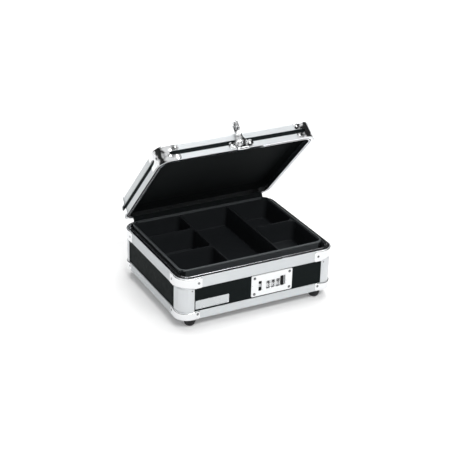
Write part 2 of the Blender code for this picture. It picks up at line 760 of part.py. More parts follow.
def lid_shell():
    rim = ring(
        "lid_rim",
        "aluminium",
        [
            (0.0006, LID_Z),
            (GROOVE[0], LID_Z),
            (GROOVE[0], LID_Z + GROOVE[2]),
            (GROOVE[1], LID_Z + GROOVE[2]),
            (GROOVE[1], LID_Z),
            (RIM_WIDTH, LID_Z),
            (RIM_WIDTH, LID_Z + LID_FLANGE),
            (CHANNEL, LID_Z + LID_FLANGE),
            (CHANNEL, LID_Z + LID_WEB),
            (SKIN, LID_Z + LID_WEB),
            (SKIN, LID_Z + LID_LOW_BAND),
            (0.0, LID_Z + LID_LOW_BAND),
            (0.0, LID_Z + 0.0006),
        ],
    )
    under_top = LID_TOP - SKIN - GAP
    edge = ring(
        "lid_top_edge",
        "aluminium",
        [
            (0.0, LID_Z + LID_HIGH_BAND),
            (0.0, LID_TOP - 0.0012),
            (0.0012, LID_TOP),
            (LID_EDGE_WIDTH, LID_TOP),
            (LID_EDGE_WIDTH, LID_TOP - SKIN),
            (SKIN, LID_TOP - SKIN),
            (SKIN, LID_Z + LID_HIGH_BAND),
        ],
    )
    panel = slab(
        "lid_top_panel",
        "black_panel",
        [
            (PANEL_IN, under_top - PANEL),
            (PANEL_IN, under_top),
            (LID_EDGE_WIDTH + GAP, under_top),
            (LID_EDGE_WIDTH + GAP, LID_TOP - 0.0002),
        ],
    )
    wall_low, wall_high = LID_Z + LID_WEB + GAP, under_top - PANEL - GAP
    wall = ring(
        "lid_wall",
        "black_panel",
        [
            (PANEL_IN, wall_low),
            (PANEL_IN, wall_high),
            (PANEL_OUT, wall_high),
            (PANEL_OUT, wall_low),
        ],
    )
    lining = slab(
        "lid_lining",
        "lining",
        [
            (LINING_IN, wall_high),
            (LINING_IN, wall_low),
            (LINING_OUT, wall_low),
            (LINING_OUT, wall_high - LINING),
        ],
    )
    pieces = [rim, edge, panel, wall, lining]
    for corner, side in CORNERS.items():
        walls = [
            (LID_Z + 0.0005, LID_TAB - 0.0020),
            (LID_Z + 0.0014, LID_TAB),
            (LID_Z + 0.0078, LID_TAB),
            (LID_Z + 0.0084, 0.0020),
            (LID_Z + 0.0116, -0.0030),
            (LID_Z + 0.0150, 0.0020),
            (LID_Z + 0.0156, LID_TAB),
        ]
        under, over = LID_TOP + GAP, LID_TOP + CAP_PROUD
        fold = [
            (LID_TAB, (GAP, LID_TOP - 0.0014), (CAP_PROUD, LID_TOP - 0.0010)),
            (LID_TAB - 0.0005, (-0.0009, under), (0.0007, LID_TOP + 0.0004)),
            (LID_TAB - 0.0015, (-0.0018, under), (-0.0006, over)),
            (0.0050, (-LID_CAP_FOLD, under), (-LID_CAP_FOLD, over)),
        ]
        levels = upright(walls, GAP, CAP_PROUD) + fold
        pieces.append(corner_shell(f"lid_cap_{corner}", "chrome", side, levels, 12))
    return pieces


def hasp_base():
    """The plate on the lid that carries the hasp: two riveted wings and two knuckles."""
    wings = [
        (-0.0200, 0.0060),
        (-0.0190, 0.0030),
        (-0.0165, 0.0012),
        (0.0165, 0.0012),
        (0.0190, 0.0030),
        (0.0200, 0.0060),
        (0.0190, 0.0100),
        (0.0165, 0.0122),
        (0.0135, 0.0122),
        (0.0100, 0.0085),
        (-0.0100, 0.0085),
        (-0.0135, 0.0122),
        (-0.0165, 0.0122),
        (-0.0190, 0.0100),
    ]
    outline = [(HASP_X + x, LID_Z + z) for x, z in wings]
    leaf_y = (FRONT - GAP - 0.0010, FRONT - GAP)
    plate = prism_y("hasp_base", "chrome", outline, leaf_y)
    axis_y = FRONT - HASP_AXIS_PROUD
    inner = HASP_KNUCKLE + GAP
    spans = [
        (HASP_X - HASP_BARREL_HALF, HASP_X - inner),
        (HASP_X + inner, HASP_X + HASP_BARREL_HALF),
    ]
    for n, span in enumerate(spans, 1):
        web_x = (span[0] + 0.0001, span[1] - 0.0001)
        web_y = (axis_y + 0.0006, FRONT - GAP - 0.0001)
        web_z = (LID_Z + 0.0003, LID_Z + 0.0025)
        join(plate, box(f"hasp_web_{n}", "chrome", web_x, web_y, web_z))
    join(plate, *knuckles(spans, axis_y, HASP_AXIS_Z, HASP_BARREL_R, "hasp_base"))
    bore_x = (HASP_X - 0.012, HASP_X + 0.012)
    bore = cylinder_x("hasp_base_bore", "steel", bore_x, axis_y, HASP_AXIS_Z, HASP_BORE_R)
    cut(plate, bore)
    pin_x = (HASP_X - HASP_BARREL_HALF, HASP_X + HASP_BARREL_HALF)
    pin = cylinder_x("hasp_pin", "steel", pin_x, axis_y, HASP_AXIS_Z, HASP_PIN_R, 14)
    return [plate, pin]


def hasp_arm():
    """The swinging arm, laid out hanging down in its locked place, and its staple."""
    right_side = [
        (0.0042, 0.0010),
        (0.0042, 0.0028),
        (0.0085, 0.0032),
        (0.0108, 0.0085),
        (0.0108, 0.0110),
        (0.0085, 0.0132),
        (0.0062, 0.0165),
        (0.0052, 0.0210),
        (0.0052, ARM_LENGTH - 0.0030),
        (0.0044, ARM_LENGTH - 0.0008),
        (0.0026, ARM_LENGTH),
    ]
    outline = [(x, -d) for x, d in right_side] + [(-x, -d) for x, d in reversed(right_side)]
    outline = [(HASP_X + x, HASP_AXIS_Z + z) for x, z in outline]
    axis_y = FRONT - HASP_AXIS_PROUD
    arm_y = (axis_y - ARM_T / 2, axis_y + ARM_T / 2)
    arm = prism_y("hasp_arm", "chrome", outline, arm_y)
    edge = 0.0011
    for n, sign in enumerate((-1, 1), 1):
        inner, outer = sorted((sign * (0.0052 - edge), sign * 0.00515))
        edge_x = (HASP_X + inner, HASP_X + outer)
        edge_y = (axis_y, axis_y + ARM_T / 2 + 0.0013)
        edge_z = (HASP_AXIS_Z - ARM_LENGTH + 0.0032, HASP_AXIS_Z - 0.0215)
        join(arm, box(f"arm_edge_{n}", "chrome", edge_x, edge_y, edge_z))
    span = (HASP_X - HASP_KNUCKLE, HASP_X + HASP_KNUCKLE)
    join(arm, *knuckles([span], axis_y, HASP_AXIS_Z, HASP_BARREL_R, "hasp_arm"))
    bore_x = (HASP_X - 0.012, HASP_X + 0.012)
    bore = cylinder_x("hasp_arm_bore", "steel", bore_x, axis_y, HASP_AXIS_Z, HASP_BORE_R)
    cut(arm, bore)

    staple_z = (SLOT_Z - STAPLE_LENGTH / 2, SLOT_Z + STAPLE_LENGTH / 2)
    staple_x = (HASP_X - STAPLE_T / 2, HASP_X + STAPLE_T / 2)
    staple_y = (arm_y[1] + GAP, FRONT + STAPLE_REACH)
    staple = box("hasp_staple", "steel", staple_x, staple_y, staple_z)
    eye_z = (staple_z[0] + STAPLE_LEG, staple_z[1] - STAPLE_LEG)
    eye_y = (FRONT + BOLT_IN[0] - 0.0012, FRONT + BOLT_IN[1] + 0.0006)
    eye_x = (staple_x[0] - 0.001, staple_x[1] + 0.001)
    cut(staple, box("staple_eye", "steel", eye_x, eye_y, eye_z))
    return [arm, staple]


def tray():
    """The lift-out tray: a tapered tub with a lip, three cells left, two right, one between."""
    top, low = TRAY_TOP, TRAY_TOP - TRAY_HEIGHT

    def outline(inset, z):
        x = (-TRAY_X + inset, TRAY_X - inset)
        y = (TRAY_Y[0] + inset, TRAY_Y[1] - inset)
        return [(px, py, z) for px, py in rounded_rect(x, y, TRAY_R - inset)]

    sections = [
        (TRAY_LIP + 0.0040, low),
        (TRAY_LIP + 0.0022, low + 0.0012),
        (TRAY_LIP, top - 0.0030),
        (0.0, top - 0.0028),
        (0.0, top - 0.0005),
        (0.0006, top),
    ]
    body = add("tray", loft([outline(*s) for s in sections]), "tray_plastic")
    wall = TRAY_LIP + TRAY_WALL
    mouth = [outline(wall - 0.0003, top - DIVIDER_DROP), outline(wall - 0.0006, top + 0.003)]
    cut(body, add("tray_mouth", loft(mouth), "tray_plastic"))
    half = DIVIDER / 2
    left = (-TRAY_X + wall, LEFT_DIVIDER_X - half)
    middle = (LEFT_DIVIDER_X + half, RIGHT_DIVIDER_X - half)
    right = (RIGHT_DIVIDER_X + half, TRAY_X - wall)
    front, back = TRAY_Y[0] + wall, TRAY_Y[1] - wall
    low_cross, high_cross = LEFT_CROSS_Y
    cells = {
        "coin_front": (left, (front, low_cross - half)),
        "coin_middle": (left, (low_cross + half, high_cross - half)),
        "coin_back": (left, (high_cross + half, back)),
        "bill": (middle, (front, back)),
        "right_front": (right, (front, RIGHT_CROSS_Y - half)),
        "right_back": (right, (RIGHT_CROSS_Y + half, back)),
    }
    for name, (x, y) in cells.items():
        corner = INNER_CELL_R if name in ("coin_middle", "bill") else OUTER_CELL_R
        cut(body, cell_cutter(f"cell_{name}", x, y, corner, (low + DIVIDER, top - 0.0010)))
    return body


def cell_cutter(name, x, y, radius, z):
    """The space of one cell, its floor a little smaller than its mouth."""
    loops = []
    for inset, height in ((0.0032, z[0]), (0.0014, z[0] + 0.0010), (0.0, z[1])):
        px, py = (x[0] + inset, x[1] - inset), (y[0] + inset, y[1] - inset)
        loops.append([(a, b, height) for a, b in rounded_rect(px, py, radius - inset, 4)])
    return add(name, loft(loops), "tray_plastic")


clear_scene()
ROOT = pivot("cash_box", (0, 0, 0))
ROOT.location.y = CASE_SHIFT_Y
LID_AXIS = (0, BACK + HINGE_BACK, HINGE_Z)
LID = pivot("lid_axis", LID_AXIS, ROOT, turn=-LID_OPEN)
HASP_AXIS = (HASP_X, FRONT - HASP_AXIS_PROUD, HASP_AXIS_Z)
HASP = pivot("hasp_axis", HASP_AXIS, LID, LID_AXIS, turn=math.pi)
TRAY = pivot("tray_axis", (0, 0, TRAY_TOP), ROOT)

base_leaves, lid_leaves = hinges()
carry(ROOT, *base_frame(), *base_walls(), *feet(), *lock_rivets(), *lock_body(), *base_leaves)
dials()
release()
carry(LID, *lid_shell(), *lid_leaves, *hasp_base())
carry(HASP, *hasp_arm())
carry(TRAY, tray())
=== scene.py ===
"""The cash box's looks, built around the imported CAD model.

Shapes are laid out in "case" coordinates: lid shut, middle of the case at x = y = 0, floor at
z = 0, front facing -Y, metres. PLACES then holds where the case, the lid and the hasp stand at
rest.
"""

import json
from math import cos, pi, radians, sin, sqrt

import bmesh
import bpy
from mathutils import Matrix, Vector


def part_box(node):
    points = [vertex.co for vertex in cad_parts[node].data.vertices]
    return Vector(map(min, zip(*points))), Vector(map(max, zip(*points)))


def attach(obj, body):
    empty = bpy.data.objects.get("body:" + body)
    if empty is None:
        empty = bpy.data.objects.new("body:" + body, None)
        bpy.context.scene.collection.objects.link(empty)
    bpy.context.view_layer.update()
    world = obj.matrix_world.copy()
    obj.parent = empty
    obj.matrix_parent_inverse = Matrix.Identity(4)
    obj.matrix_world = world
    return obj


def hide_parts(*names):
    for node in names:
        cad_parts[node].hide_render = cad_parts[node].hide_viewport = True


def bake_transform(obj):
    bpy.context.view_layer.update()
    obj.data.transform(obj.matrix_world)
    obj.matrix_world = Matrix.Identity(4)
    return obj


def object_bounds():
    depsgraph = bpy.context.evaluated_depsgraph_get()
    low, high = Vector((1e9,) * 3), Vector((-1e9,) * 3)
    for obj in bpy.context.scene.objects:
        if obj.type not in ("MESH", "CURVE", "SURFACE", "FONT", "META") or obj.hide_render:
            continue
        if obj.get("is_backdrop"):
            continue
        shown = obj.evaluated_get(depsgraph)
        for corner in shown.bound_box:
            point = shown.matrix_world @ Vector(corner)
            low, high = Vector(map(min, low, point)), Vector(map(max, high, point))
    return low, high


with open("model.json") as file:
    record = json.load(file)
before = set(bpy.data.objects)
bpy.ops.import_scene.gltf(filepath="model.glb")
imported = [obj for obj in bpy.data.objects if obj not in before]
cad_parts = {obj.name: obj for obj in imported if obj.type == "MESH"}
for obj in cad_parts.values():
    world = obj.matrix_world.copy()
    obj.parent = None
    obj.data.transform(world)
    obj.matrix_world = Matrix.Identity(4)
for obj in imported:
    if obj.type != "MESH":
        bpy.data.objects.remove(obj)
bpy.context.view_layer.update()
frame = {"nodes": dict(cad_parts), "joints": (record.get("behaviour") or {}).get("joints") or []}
JOINTS = {joint["name"]: joint for joint in frame["joints"]}

# Sizes read from the frame
TONGUE_HEIGHT = 0.0012
TOP_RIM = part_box("base_top_rim")
BOTTOM_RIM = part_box("base_bottom_rim")
WIDTH = TOP_RIM[1].x - TOP_RIM[0].x
DEPTH = TOP_RIM[1].y - TOP_RIM[0].y
MIDDLE_Y = (TOP_RIM[1].y + TOP_RIM[0].y) / 2
FRONT, BACK = -DEPTH / 2, DEPTH / 2
FRAME_Z, PANEL_LOW = BOTTOM_RIM[0].z, BOTTOM_RIM[1].z
PANEL_HIGH = TOP_RIM[0].z
RIM_Z = TOP_RIM[1].z - TONGUE_HEIGHT
LID_OPEN = -radians(JOINTS["lid_hinge"]["range_deg"][0])
DIAL_AXES = [Vector(JOINTS[f"dial_{n}_spin"]["pos_m"]) for n in (1, 2, 3)]

# Case
CORNER_R = 0.0200
ARC = CORNER_R * pi / 4  # half the length round a corner
GAP = 0.0003
SKIN = 0.0012
PANEL_IN, PANEL_OUT = 0.0015, 0.0045
LINING_IN, LINING_OUT = 0.0048, 0.0058
CHANNEL = 0.0066
RIM_WIDTH = 0.0078
TONGUE = (0.0045, 0.0060)
GROOVE = (0.0041, 0.0064, 0.0019)
RIB_PITCH = 0.0021
RIB_DEPTH = 0.00022
RIB_HALF = 0.00030
POST_FLAT = 0.00265
CAP_PROUD = 0.0011
TAB_PROUD = 0.0007
TOP_TAB, BOTTOM_TAB, LID_TAB = 0.0150, 0.0115, 0.0130  # tabs beyond the round edge
TAB_R = 0.0030
RIM_CHANNEL_DEPTH = 0.0100

# Rivets: radius and height of their heads, and how far they reach into what they hold
CAP_RIVET = (0.0019, 0.0009)
CAP_RIVETS_AT = ((TOP_TAB - 0.0062, 0.0738), (BOTTOM_TAB - 0.0040, 0.0240))  # beyond ARC, height
POST_RIVET, POST_RIVET_Z = (0.0011, 0.0005), 0.0628
LID_RIVET = (0.0017, 0.0007)
RIVET_FOOT = 0.0004

# Lid
LID_Z = RIM_Z + GAP
LID_TOP = LID_Z + 0.0248
LOW_BAND, HIGH_BAND = 0.0085, 0.0150  # upper edge of the low band, lower edge of the high one
LID_WEB = 0.0035  # height of the lower rim's web over the mating face
LID_CHANNEL_DEPTH = 0.0080
LID_TURN_IN = 0.0100  # width of the upper rim's flange on the lid's top
LID_FOLD = 0.0085
LID_TAB_R, LID_BEND_R = 0.0024, 0.0025

PLACES = {"base": Matrix.Translation((0, MIDDLE_Y, 0))}
HINGE = Vector(JOINTS["lid_hinge"]["pos_m"])
HASP_X = JOINTS["hasp_hinge"]["pos_m"][0]
HASP_AXIS = Vector((HASP_X, FRONT - 0.0028, RIM_Z - 0.0005))


def turned_about(point, angle):
    """A turn about the X axis through a point."""
    there = Matrix.Translation(point)
    return there @ Matrix.Rotation(angle, 4, "X") @ there.inverted()


PLACES["lid"] = turned_about(HINGE, -LID_OPEN) @ PLACES["base"]
PLACES["hasp"] = PLACES["lid"] @ turned_about(HASP_AXIS, pi)
CORNERS = {
    f"{depth}_{side}": (x, y)
    for y, depth in ((-1, "front"), (1, "back"))
    for x, side in ((-1, "left"), (1, "right"))
}


# ---- materials


def map_range(tree, value, source, target):
    """A value's source range spread over a target range."""
    node = tree.nodes.new("ShaderNodeMapRange")
    tree.links.new(value, node.inputs["Value"])
    for socket, number in zip(("From Min", "From Max", "To Min", "To Max"), (*source, *target)):
        node.inputs[socket].default_value = number
    return node.outputs[0]


class Nodes:
    """A small helper that adds linked nodes to one material."""

    def __init__(self, name):
        self.material = bpy.data.materials.new(name)
        self.material.use_nodes = True
        self.tree = self.material.node_tree
        self.shader = self.tree.nodes["Principled BSDF"]
        self.coordinates = self.tree.nodes.new("ShaderNodeTexCoord").outputs["Object"]

    def add(self, kind, **links):
        """A node whose inputs are linked to sockets or set to values."""
        node = self.tree.nodes.new(kind)
        for socket, value in links.items():
            target = node.inputs[socket.replace("_", " ")]
            if isinstance(value, bpy.types.NodeSocket):
                self.tree.links.new(value, target)
            else:
                target.default_value = value
        return node

    def noise(self, scale, stretch, detail=3.0):
        mapping = self.add("ShaderNodeMapping", Vector=self.coordinates, Scale=stretch)
        return self.add(
            "ShaderNodeTexNoise",
            Vector=mapping.outputs[0],
            Scale=scale,
            Detail=detail,
            Roughness=0.55,
        ).outputs["Fac"]

    def span(self, value, low, high):
        """A noise value spread over low to high."""
        return map_range(self.tree, value, (0.3, 0.7), (low, high))

    def link(self, value, socket):
        self.tree.links.new(value, self.shader.inputs[socket])


def look(name, colour, metallic, roughness, *, specular=0.5, mottle=0.06, mottle_scale=60,
         wear=0.04, stretch=(1, 1, 1), bump_scale=0, bump=0.0, bump_detail=2.0, cells=0):
    """A Principled material with uneven colour and roughness, and a fine raised texture.

    Lengths are metres, and scales are features per metre. cells makes the texture a leather-like
    pattern of cells.
    """
    made = Nodes(name)
    shader = made.shader
    shader.inputs["Metallic"].default_value = metallic
    shader.inputs["Specular IOR Level"].default_value = specular
    blotch = made.noise(mottle_scale, stretch)
    mix = made.add("ShaderNodeMix")
    mix.data_type = "RGBA"
    made.tree.links.new(blotch, mix.inputs["Factor"])
    colours = [s for s in mix.inputs if s.type == "RGBA"]
    colours[0].default_value = (*[c * (1 - mottle) for c in colour], 1)
    colours[1].default_value = (*[min(1, c * (1 + mottle)) for c in colour], 1)
    made.link([s for s in mix.outputs if s.type == "RGBA"][0], "Base Color")
    scuffs = made.noise(mottle_scale * 2.3, stretch, 4.0)
    made.link(made.span(scuffs, max(0.02, roughness - wear), roughness + wear), "Roughness")
    if bump:
        if cells:
            mapping = made.add("ShaderNodeMapping", Vector=made.coordinates, Scale=stretch)
            voronoi = made.add("ShaderNodeTexVoronoi", Vector=mapping.outputs[0], Scale=cells)
            height = voronoi.outputs["Distance"]
        else:
            height = made.noise(bump_scale, stretch, bump_detail)
        node = made.add("ShaderNodeBump", Height=height, Strength=0.6, Distance=bump)
        made.link(node.outputs[0], "Normal")
    return made.material


LOOKS, SLOTS = {}, {}


def finish(name, slot, *numbers, **options):
    """Names a look, and the record's material slot that it stands for."""
    LOOKS[name] = look(name, *numbers, **options)
    SLOTS[name] = slot


ALONG = (0.04, 0.04, 1.0)  # fine lines that run round the case
UPWARD = (1.0, 1.0, 0.04)  # fine lines that run up the case
finish("band", "aluminium", (0.625, 0.65, 0.665), 0.35, 0.36, mottle=0.03, wear=0.06,
       stretch=ALONG, mottle_scale=900, bump_scale=4000, bump=0.00002)
finish("post", "aluminium", (0.63, 0.65, 0.665), 0.35, 0.36, mottle=0.03, wear=0.06,
       stretch=UPWARD, mottle_scale=900, bump_scale=4000, bump=0.00002)
finish("chrome", "chrome", (0.76, 0.77, 0.78), 1.0, 0.08, mottle=0.015, wear=0.03, bump_scale=300,
       bump=0.000004)
finish("pressed", "chrome", (0.84, 0.85, 0.86), 1.0, 0.10, mottle=0.015, wear=0.03, bump_scale=95,
       bump=0.0038, bump_detail=0.5)
finish("plate", "aluminium", (0.83, 0.845, 0.85), 0.45, 0.32, mottle=0.02, wear=0.05,
       bump_scale=2500, bump=0.00001)
finish("polished", "aluminium", (0.80, 0.81, 0.83), 1.0, 0.13, mottle=0.02, wear=0.04,
       stretch=ALONG, bump_scale=900, bump=0.000006)
finish("satin", "aluminium", (0.54, 0.56, 0.57), 0.85, 0.24, mottle=0.03, wear=0.06,
       bump_scale=900, bump=0.00001)
# painted shade: chrome darkened for the base-cap and lock-plate rivets and the hasp's bosses; the lid-cap
# and hasp-plate rivets keep the plain chrome
finish("rivet", "chrome", (0.20, 0.205, 0.21), 1.0, 0.20, mottle=0.05, wear=0.04, bump_scale=900,
       bump=0.00001)
finish("steel", "steel", (0.60, 0.61, 0.62), 1.0, 0.30, mottle=0.06, wear=0.08, bump_scale=1500,
       bump=0.00001)
finish("blackened", "steel", (0.05, 0.052, 0.055), 0.6, 0.55, mottle=0.1, wear=0.06,
       bump_scale=1500, bump=0.00002)
finish("panel", "black_panel", (0.0062, 0.0090, 0.0094), 0.0, 0.60, specular=0.05, mottle=0.15,
       wear=0.06, cells=900, bump=0.00012)
finish("lining", "lining", (0.0060, 0.0078, 0.0084), 0.0, 0.90, specular=0.14, mottle=0.25,
       mottle_scale=400, bump_scale=2600, bump=0.00018, bump_detail=5.0)
finish("tray", "tray_plastic", (0.062, 0.069, 0.073), 0.0, 0.42, specular=0.50, mottle=0.08,
       wear=0.05, bump_scale=1800, bump=0.00003)
# painted shade: a darker copy of the tray's plastic for the insides of its cells
finish("tray_inside", "tray_plastic", (0.012, 0.014, 0.016), 0.0, 0.60, specular=0.25,
       mottle=0.12, wear=0.05, bump_scale=2200, bump=0.00006)
finish("rubber", "rubber", (0.010, 0.010, 0.011), 0.0, 0.55, specular=0.35, mottle=0.2, wear=0.08,
       bump_scale=1500, bump=0.00004)
finish("dial", "dial", (0.72, 0.73, 0.74), 0.85, 0.26, mottle=0.04, wear=0.06, bump_scale=1200,
       bump=0.00001)
finish("ink", "slider", (0.006, 0.006, 0.006), 0.0, 0.45, specular=0.3, mottle=0.1)
finish("thumb", "slider", (0.006, 0.006, 0.007), 0.0, 0.45, specular=0.2, mottle=0.1,
       bump_scale=1500, bump=0.00002)


# ---- shapes


def added(name, data):
    """A new object in the scene."""
    obj = bpy.data.objects.new(name, data)
    bpy.context.scene.collection.objects.link(obj)
    return obj


def mesh_of(name, shape):
    """A mesh made from a bmesh, which is used up."""
    mesh = bpy.data.meshes.new(name)
    shape.to_mesh(mesh)
    shape.free()
    return mesh


def quarter(steps):
    """Angles from 0 to 90 degrees, in radians."""
    return [radians(90 * n / steps) for n in range(steps + 1)]


def loft(loops, closed=False):
    """A bmesh skinned over loops of equal length: a ring if closed, else capped at both ends."""
    bm = bmesh.new()
    rows = [[bm.verts.new(p) for p in loop] for loop in loops]
    count = len(rows[0])
    pairs = list(zip(rows, rows[1:] + rows[:1])) if closed else list(zip(rows, rows[1:]))
    for low, high in pairs:
        for i in range(count):
            j = (i + 1) % count
            bm.faces.new((low[i], low[j], high[j], high[i]))
    if not closed:
        bm.faces.new(reversed(rows[0]))
        bm.faces.new(rows[-1])
    return bm


def merged(*shapes):
    """One bmesh holding several separate shapes."""
    whole = bmesh.new()
    for shape in shapes:
        mesh = mesh_of("part", shape)
        whole.from_mesh(mesh)
        bpy.data.meshes.remove(mesh)
    return whole


def combined(shape, operation, *others):
    """A bmesh united with, or cut by, others."""
    objects = []
    for part in (shape, *others):
        bmesh.ops.recalc_face_normals(part, faces=part.faces)
        objects.append(added("part", mesh_of("part", part)))
    for other in objects[1:]:
        modifier = objects[0].modifiers.new("combine", "BOOLEAN")
        modifier.operation = operation
        modifier.solver = "EXACT"
        modifier.object = other
    graph = bpy.context.evaluated_depsgraph_get()
    result = bmesh.new()
    result.from_mesh(bpy.data.meshes.new_from_object(objects[0].evaluated_get(graph)))
    for obj in objects:
        bpy.data.objects.remove(obj, do_unlink=True)
    return result


def softened(points, radius, steps=3):
    """A closed outline with each of its corners rounded."""
    made = []
    count = len(points)
    for n, point in enumerate(points):
        here = Vector(point)
        before, after = Vector(points[n - 1]) - here, Vector(points[(n + 1) % count]) - here
        if before.length < 1e-7 or after.length < 1e-7 or before.angle(after) > radians(165):
            made.append(tuple(here))
            continue
        reach = min(radius, 0.45 * before.length, 0.45 * after.length)
        start, end = here + before.normalized() * reach, here + after.normalized() * reach
        for step in range(steps + 1):
            t = step / steps
            made.append(tuple(start * (1 - t) ** 2 + here * 2 * t * (1 - t) + end * t * t))
    return made


def rounded_rect(x, y, radius, steps=6):
    """A closed outline, counter-clockwise, with an arc at each corner."""
    corners = (
        (x[1] - radius, y[0] + radius, -90),
        (x[1] - radius, y[1] - radius, 0),
        (x[0] + radius, y[1] - radius, 90),
        (x[0] + radius, y[0] + radius, 180),
    )
    points = []
    for cx, cy, start in corners:
        for step in range(steps + 1):
            angle = radians(start + 90 * step / steps)
            points.append((cx + radius * cos(angle), cy + radius * sin(angle)))
    return points


def mirrored(half):
    """A closed outline from its right half."""
    return half + [(-x, z) for x, z in reversed(half)]


def centred(centre, size):
    """The two ranges of a rectangle with this centre and size."""
    return [(c - s / 2, c + s / 2) for c, s in zip(centre, size)]


def case_loop(inset, z):
    """The case's outline, moved in by an inset, at one height."""
    x, y = WIDTH / 2 - inset, DEPTH / 2 - inset
    radius = max(CORNER_R - inset, 0.003)
    return [(px, py, z) for px, py in rounded_rect((-x, x), (-y, y), radius, 18)]


def ring(profile, base=0.0):
    """A frame round the whole case, from (inset, height over base) points."""
    return loft([case_loop(inset, base + z) for inset, z in profile], closed=True)


def slab(profile):
    """A closed solid that fills the case's outline, from (inset, height) points."""
    return loft([case_loop(i, z) for i, z in profile])


def prism_y(outline, y):
    """An (x, z) outline pushed from y[0] to y[1]."""
    return loft([[(px, depth, pz) for px, pz in outline] for depth in y])


def rectangle(x, z):
    """A closed outline over two ranges."""
    return [(x[0], z[0]), (x[1], z[0]), (x[1], z[1]), (x[0], z[1])]


def block(x, y, z):
    """A box over three ranges."""
    return prism_y(rectangle(x, z), y)


def cylinder_x(x, y, z, radius, steps=32, edge=0.0003):
    """A rod along X with softened ends."""
    sections = [(x[0], radius - edge), (x[0] + edge, radius), (x[1] - edge, radius), (x[1], radius - edge)]
    angles = [2 * pi * i / steps for i in range(steps)]
    return loft(
        [[(px, y + r * cos(a), z + r * sin(a)) for a in angles] for px, r in sections]
    )


def lathe(profile, place, steps=28):
    """A solid of revolution through (radius, height) points, stood on a place's own Z axis."""
    angles = [2 * pi * i / steps for i in range(steps)]
    loops = [[place @ Vector((r * cos(a), r * sin(a), h)) for a in angles] for r, h in profile]
    return loft(loops)


def facing(direction, point):
    """A place at a point whose Z axis is an outward direction."""
    turn = Vector(direction).to_track_quat("Z", "Y").to_matrix().to_4x4()
    return Matrix.Translation(point) @ turn


def rivet(direction, point, radius, height, foot=0.0):
    """A domed rivet head; foot is how far it reaches back into what it holds."""
    dome = [
        (radius * cos(radians(a)), height * sin(radians(a)))
        for a in (0, 15, 30, 45, 60, 75, 86)
    ]
    profile = [(radius, -foot)] + dome if foot else dome
    return lathe(profile, facing(direction, point))


def ribs(low, high, margin=0.0014):
    """(inset, height) points up an outer face with fine grooves along it."""
    count = int((high - low - 2 * margin) / RIB_PITCH + 1e-6)
    start = (low + high - count * RIB_PITCH) / 2
    points = []
    for n in range(count + 1):
        z = start + n * RIB_PITCH
        points += [(0, z - RIB_HALF), (RIB_DEPTH, z), (0, z + RIB_HALF)]
    return points


def corner_point(s, proud, z, side):
    """A point on the outline near a corner, s along it from the middle of the arc."""
    cx, cy = WIDTH / 2 - CORNER_R, DEPTH / 2 - CORNER_R
    if abs(s) <= ARC:
        angle = pi / 4 + s / CORNER_R
        x = cx + (CORNER_R + proud) * cos(angle)
        y = cy + (CORNER_R + proud) * sin(angle)
    elif s > 0:
        x, y = cx - (s - ARC), DEPTH / 2 + proud
    else:
        x, y = WIDTH / 2 + proud, cy - (-s - ARC)
    return (side[0] * x, side[1] * y, z)


def shown(name, shape, style, place="base", sharp=32):
    """An object made from a bmesh in case coordinates, stood where its place is at rest."""
    bmesh.ops.recalc_face_normals(shape, faces=shape.faces)
    mesh = mesh_of(name, shape)
    mesh.shade_smooth()
    mesh.set_sharp_from_angle(angle=radians(sharp))
    mesh.materials.append(LOOKS[style])
    obj = added(name, mesh)
    obj.matrix_world = PLACES[place]
    return obj


def piece(name, shape, style, body="base", replaces=(), bevel=0.0, sharp=32):
    """A shown object with even shading that rides a CAD body."""
    obj = shown(name, shape, style, body if body in PLACES else "base", sharp)
    if bevel:
        add_bevel(obj, bevel)
    weighted = obj.modifiers.new("even shading", "WEIGHTED_NORMAL")
    weighted.keep_sharp = True
    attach(obj, body)
    if replaces:
        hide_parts(*replaces)
    return obj


def add_bevel(obj, width):
    """Softens an object's sharp edges."""
    modifier = obj.modifiers.new("soft edges", "BEVEL")
    modifier.width = width
    modifier.segments = 2
    modifier.limit_method = "ANGLE"
    modifier.angle_limit = radians(35)
    modifier.use_clamp_overlap = True


# ---- base frame


def base_frame():
    """The ribbed bands round the base, and the bright channel that the lid shuts on."""
    bottom = [(0.0, FRAME_Z + 0.0012)] + ribs(FRAME_Z + 0.0012, PANEL_LOW) + [
        (0.0, PANEL_LOW - 0.0004), (0.0004, PANEL_LOW), (SKIN, PANEL_LOW), (SKIN, FRAME_Z + SKIN),
        (0.0120, FRAME_Z + SKIN), (0.0120, FRAME_Z), (0.0014, FRAME_Z),
        (0.0005, FRAME_Z + 0.0004),
    ]
    piece("bottom_rim", ring(bottom), "band", replaces=["base_bottom_rim"])
    top = [(0.0, PANEL_HIGH + 0.0004)] + ribs(PANEL_HIGH, RIM_Z - 0.0010) + [
        (0.0, RIM_Z - 0.0008), (0.0003, RIM_Z - 0.0002), (0.0006, RIM_Z - 0.00005),
        (0.0006, RIM_Z - SKIN), (SKIN, RIM_Z - SKIN), (SKIN, PANEL_HIGH), (0.0004, PANEL_HIGH),
    ]
    piece("top_rim", ring(top), "band", replaces=["base_top_rim"])
    channel = [
        (0.0005, RIM_Z - 0.0003), (0.0009, RIM_Z), (TONGUE[0], RIM_Z),
        (TONGUE[0], RIM_Z + TONGUE_HEIGHT - 0.0002), (TONGUE[0] + 0.0003, RIM_Z + TONGUE_HEIGHT),
        (TONGUE[1] - 0.0003, RIM_Z + TONGUE_HEIGHT), (TONGUE[1], RIM_Z + TONGUE_HEIGHT - 0.0002),
        (TONGUE[1], RIM_Z), (RIM_WIDTH - 0.0003, RIM_Z), (RIM_WIDTH, RIM_Z - 0.0003),
        (RIM_WIDTH, RIM_Z - RIM_CHANNEL_DEPTH), (CHANNEL, RIM_Z - RIM_CHANNEL_DEPTH),
        (CHANNEL, RIM_Z - SKIN), (0.0005, RIM_Z - SKIN),
    ]
    piece("top_rim_channel", ring(channel), "polished")


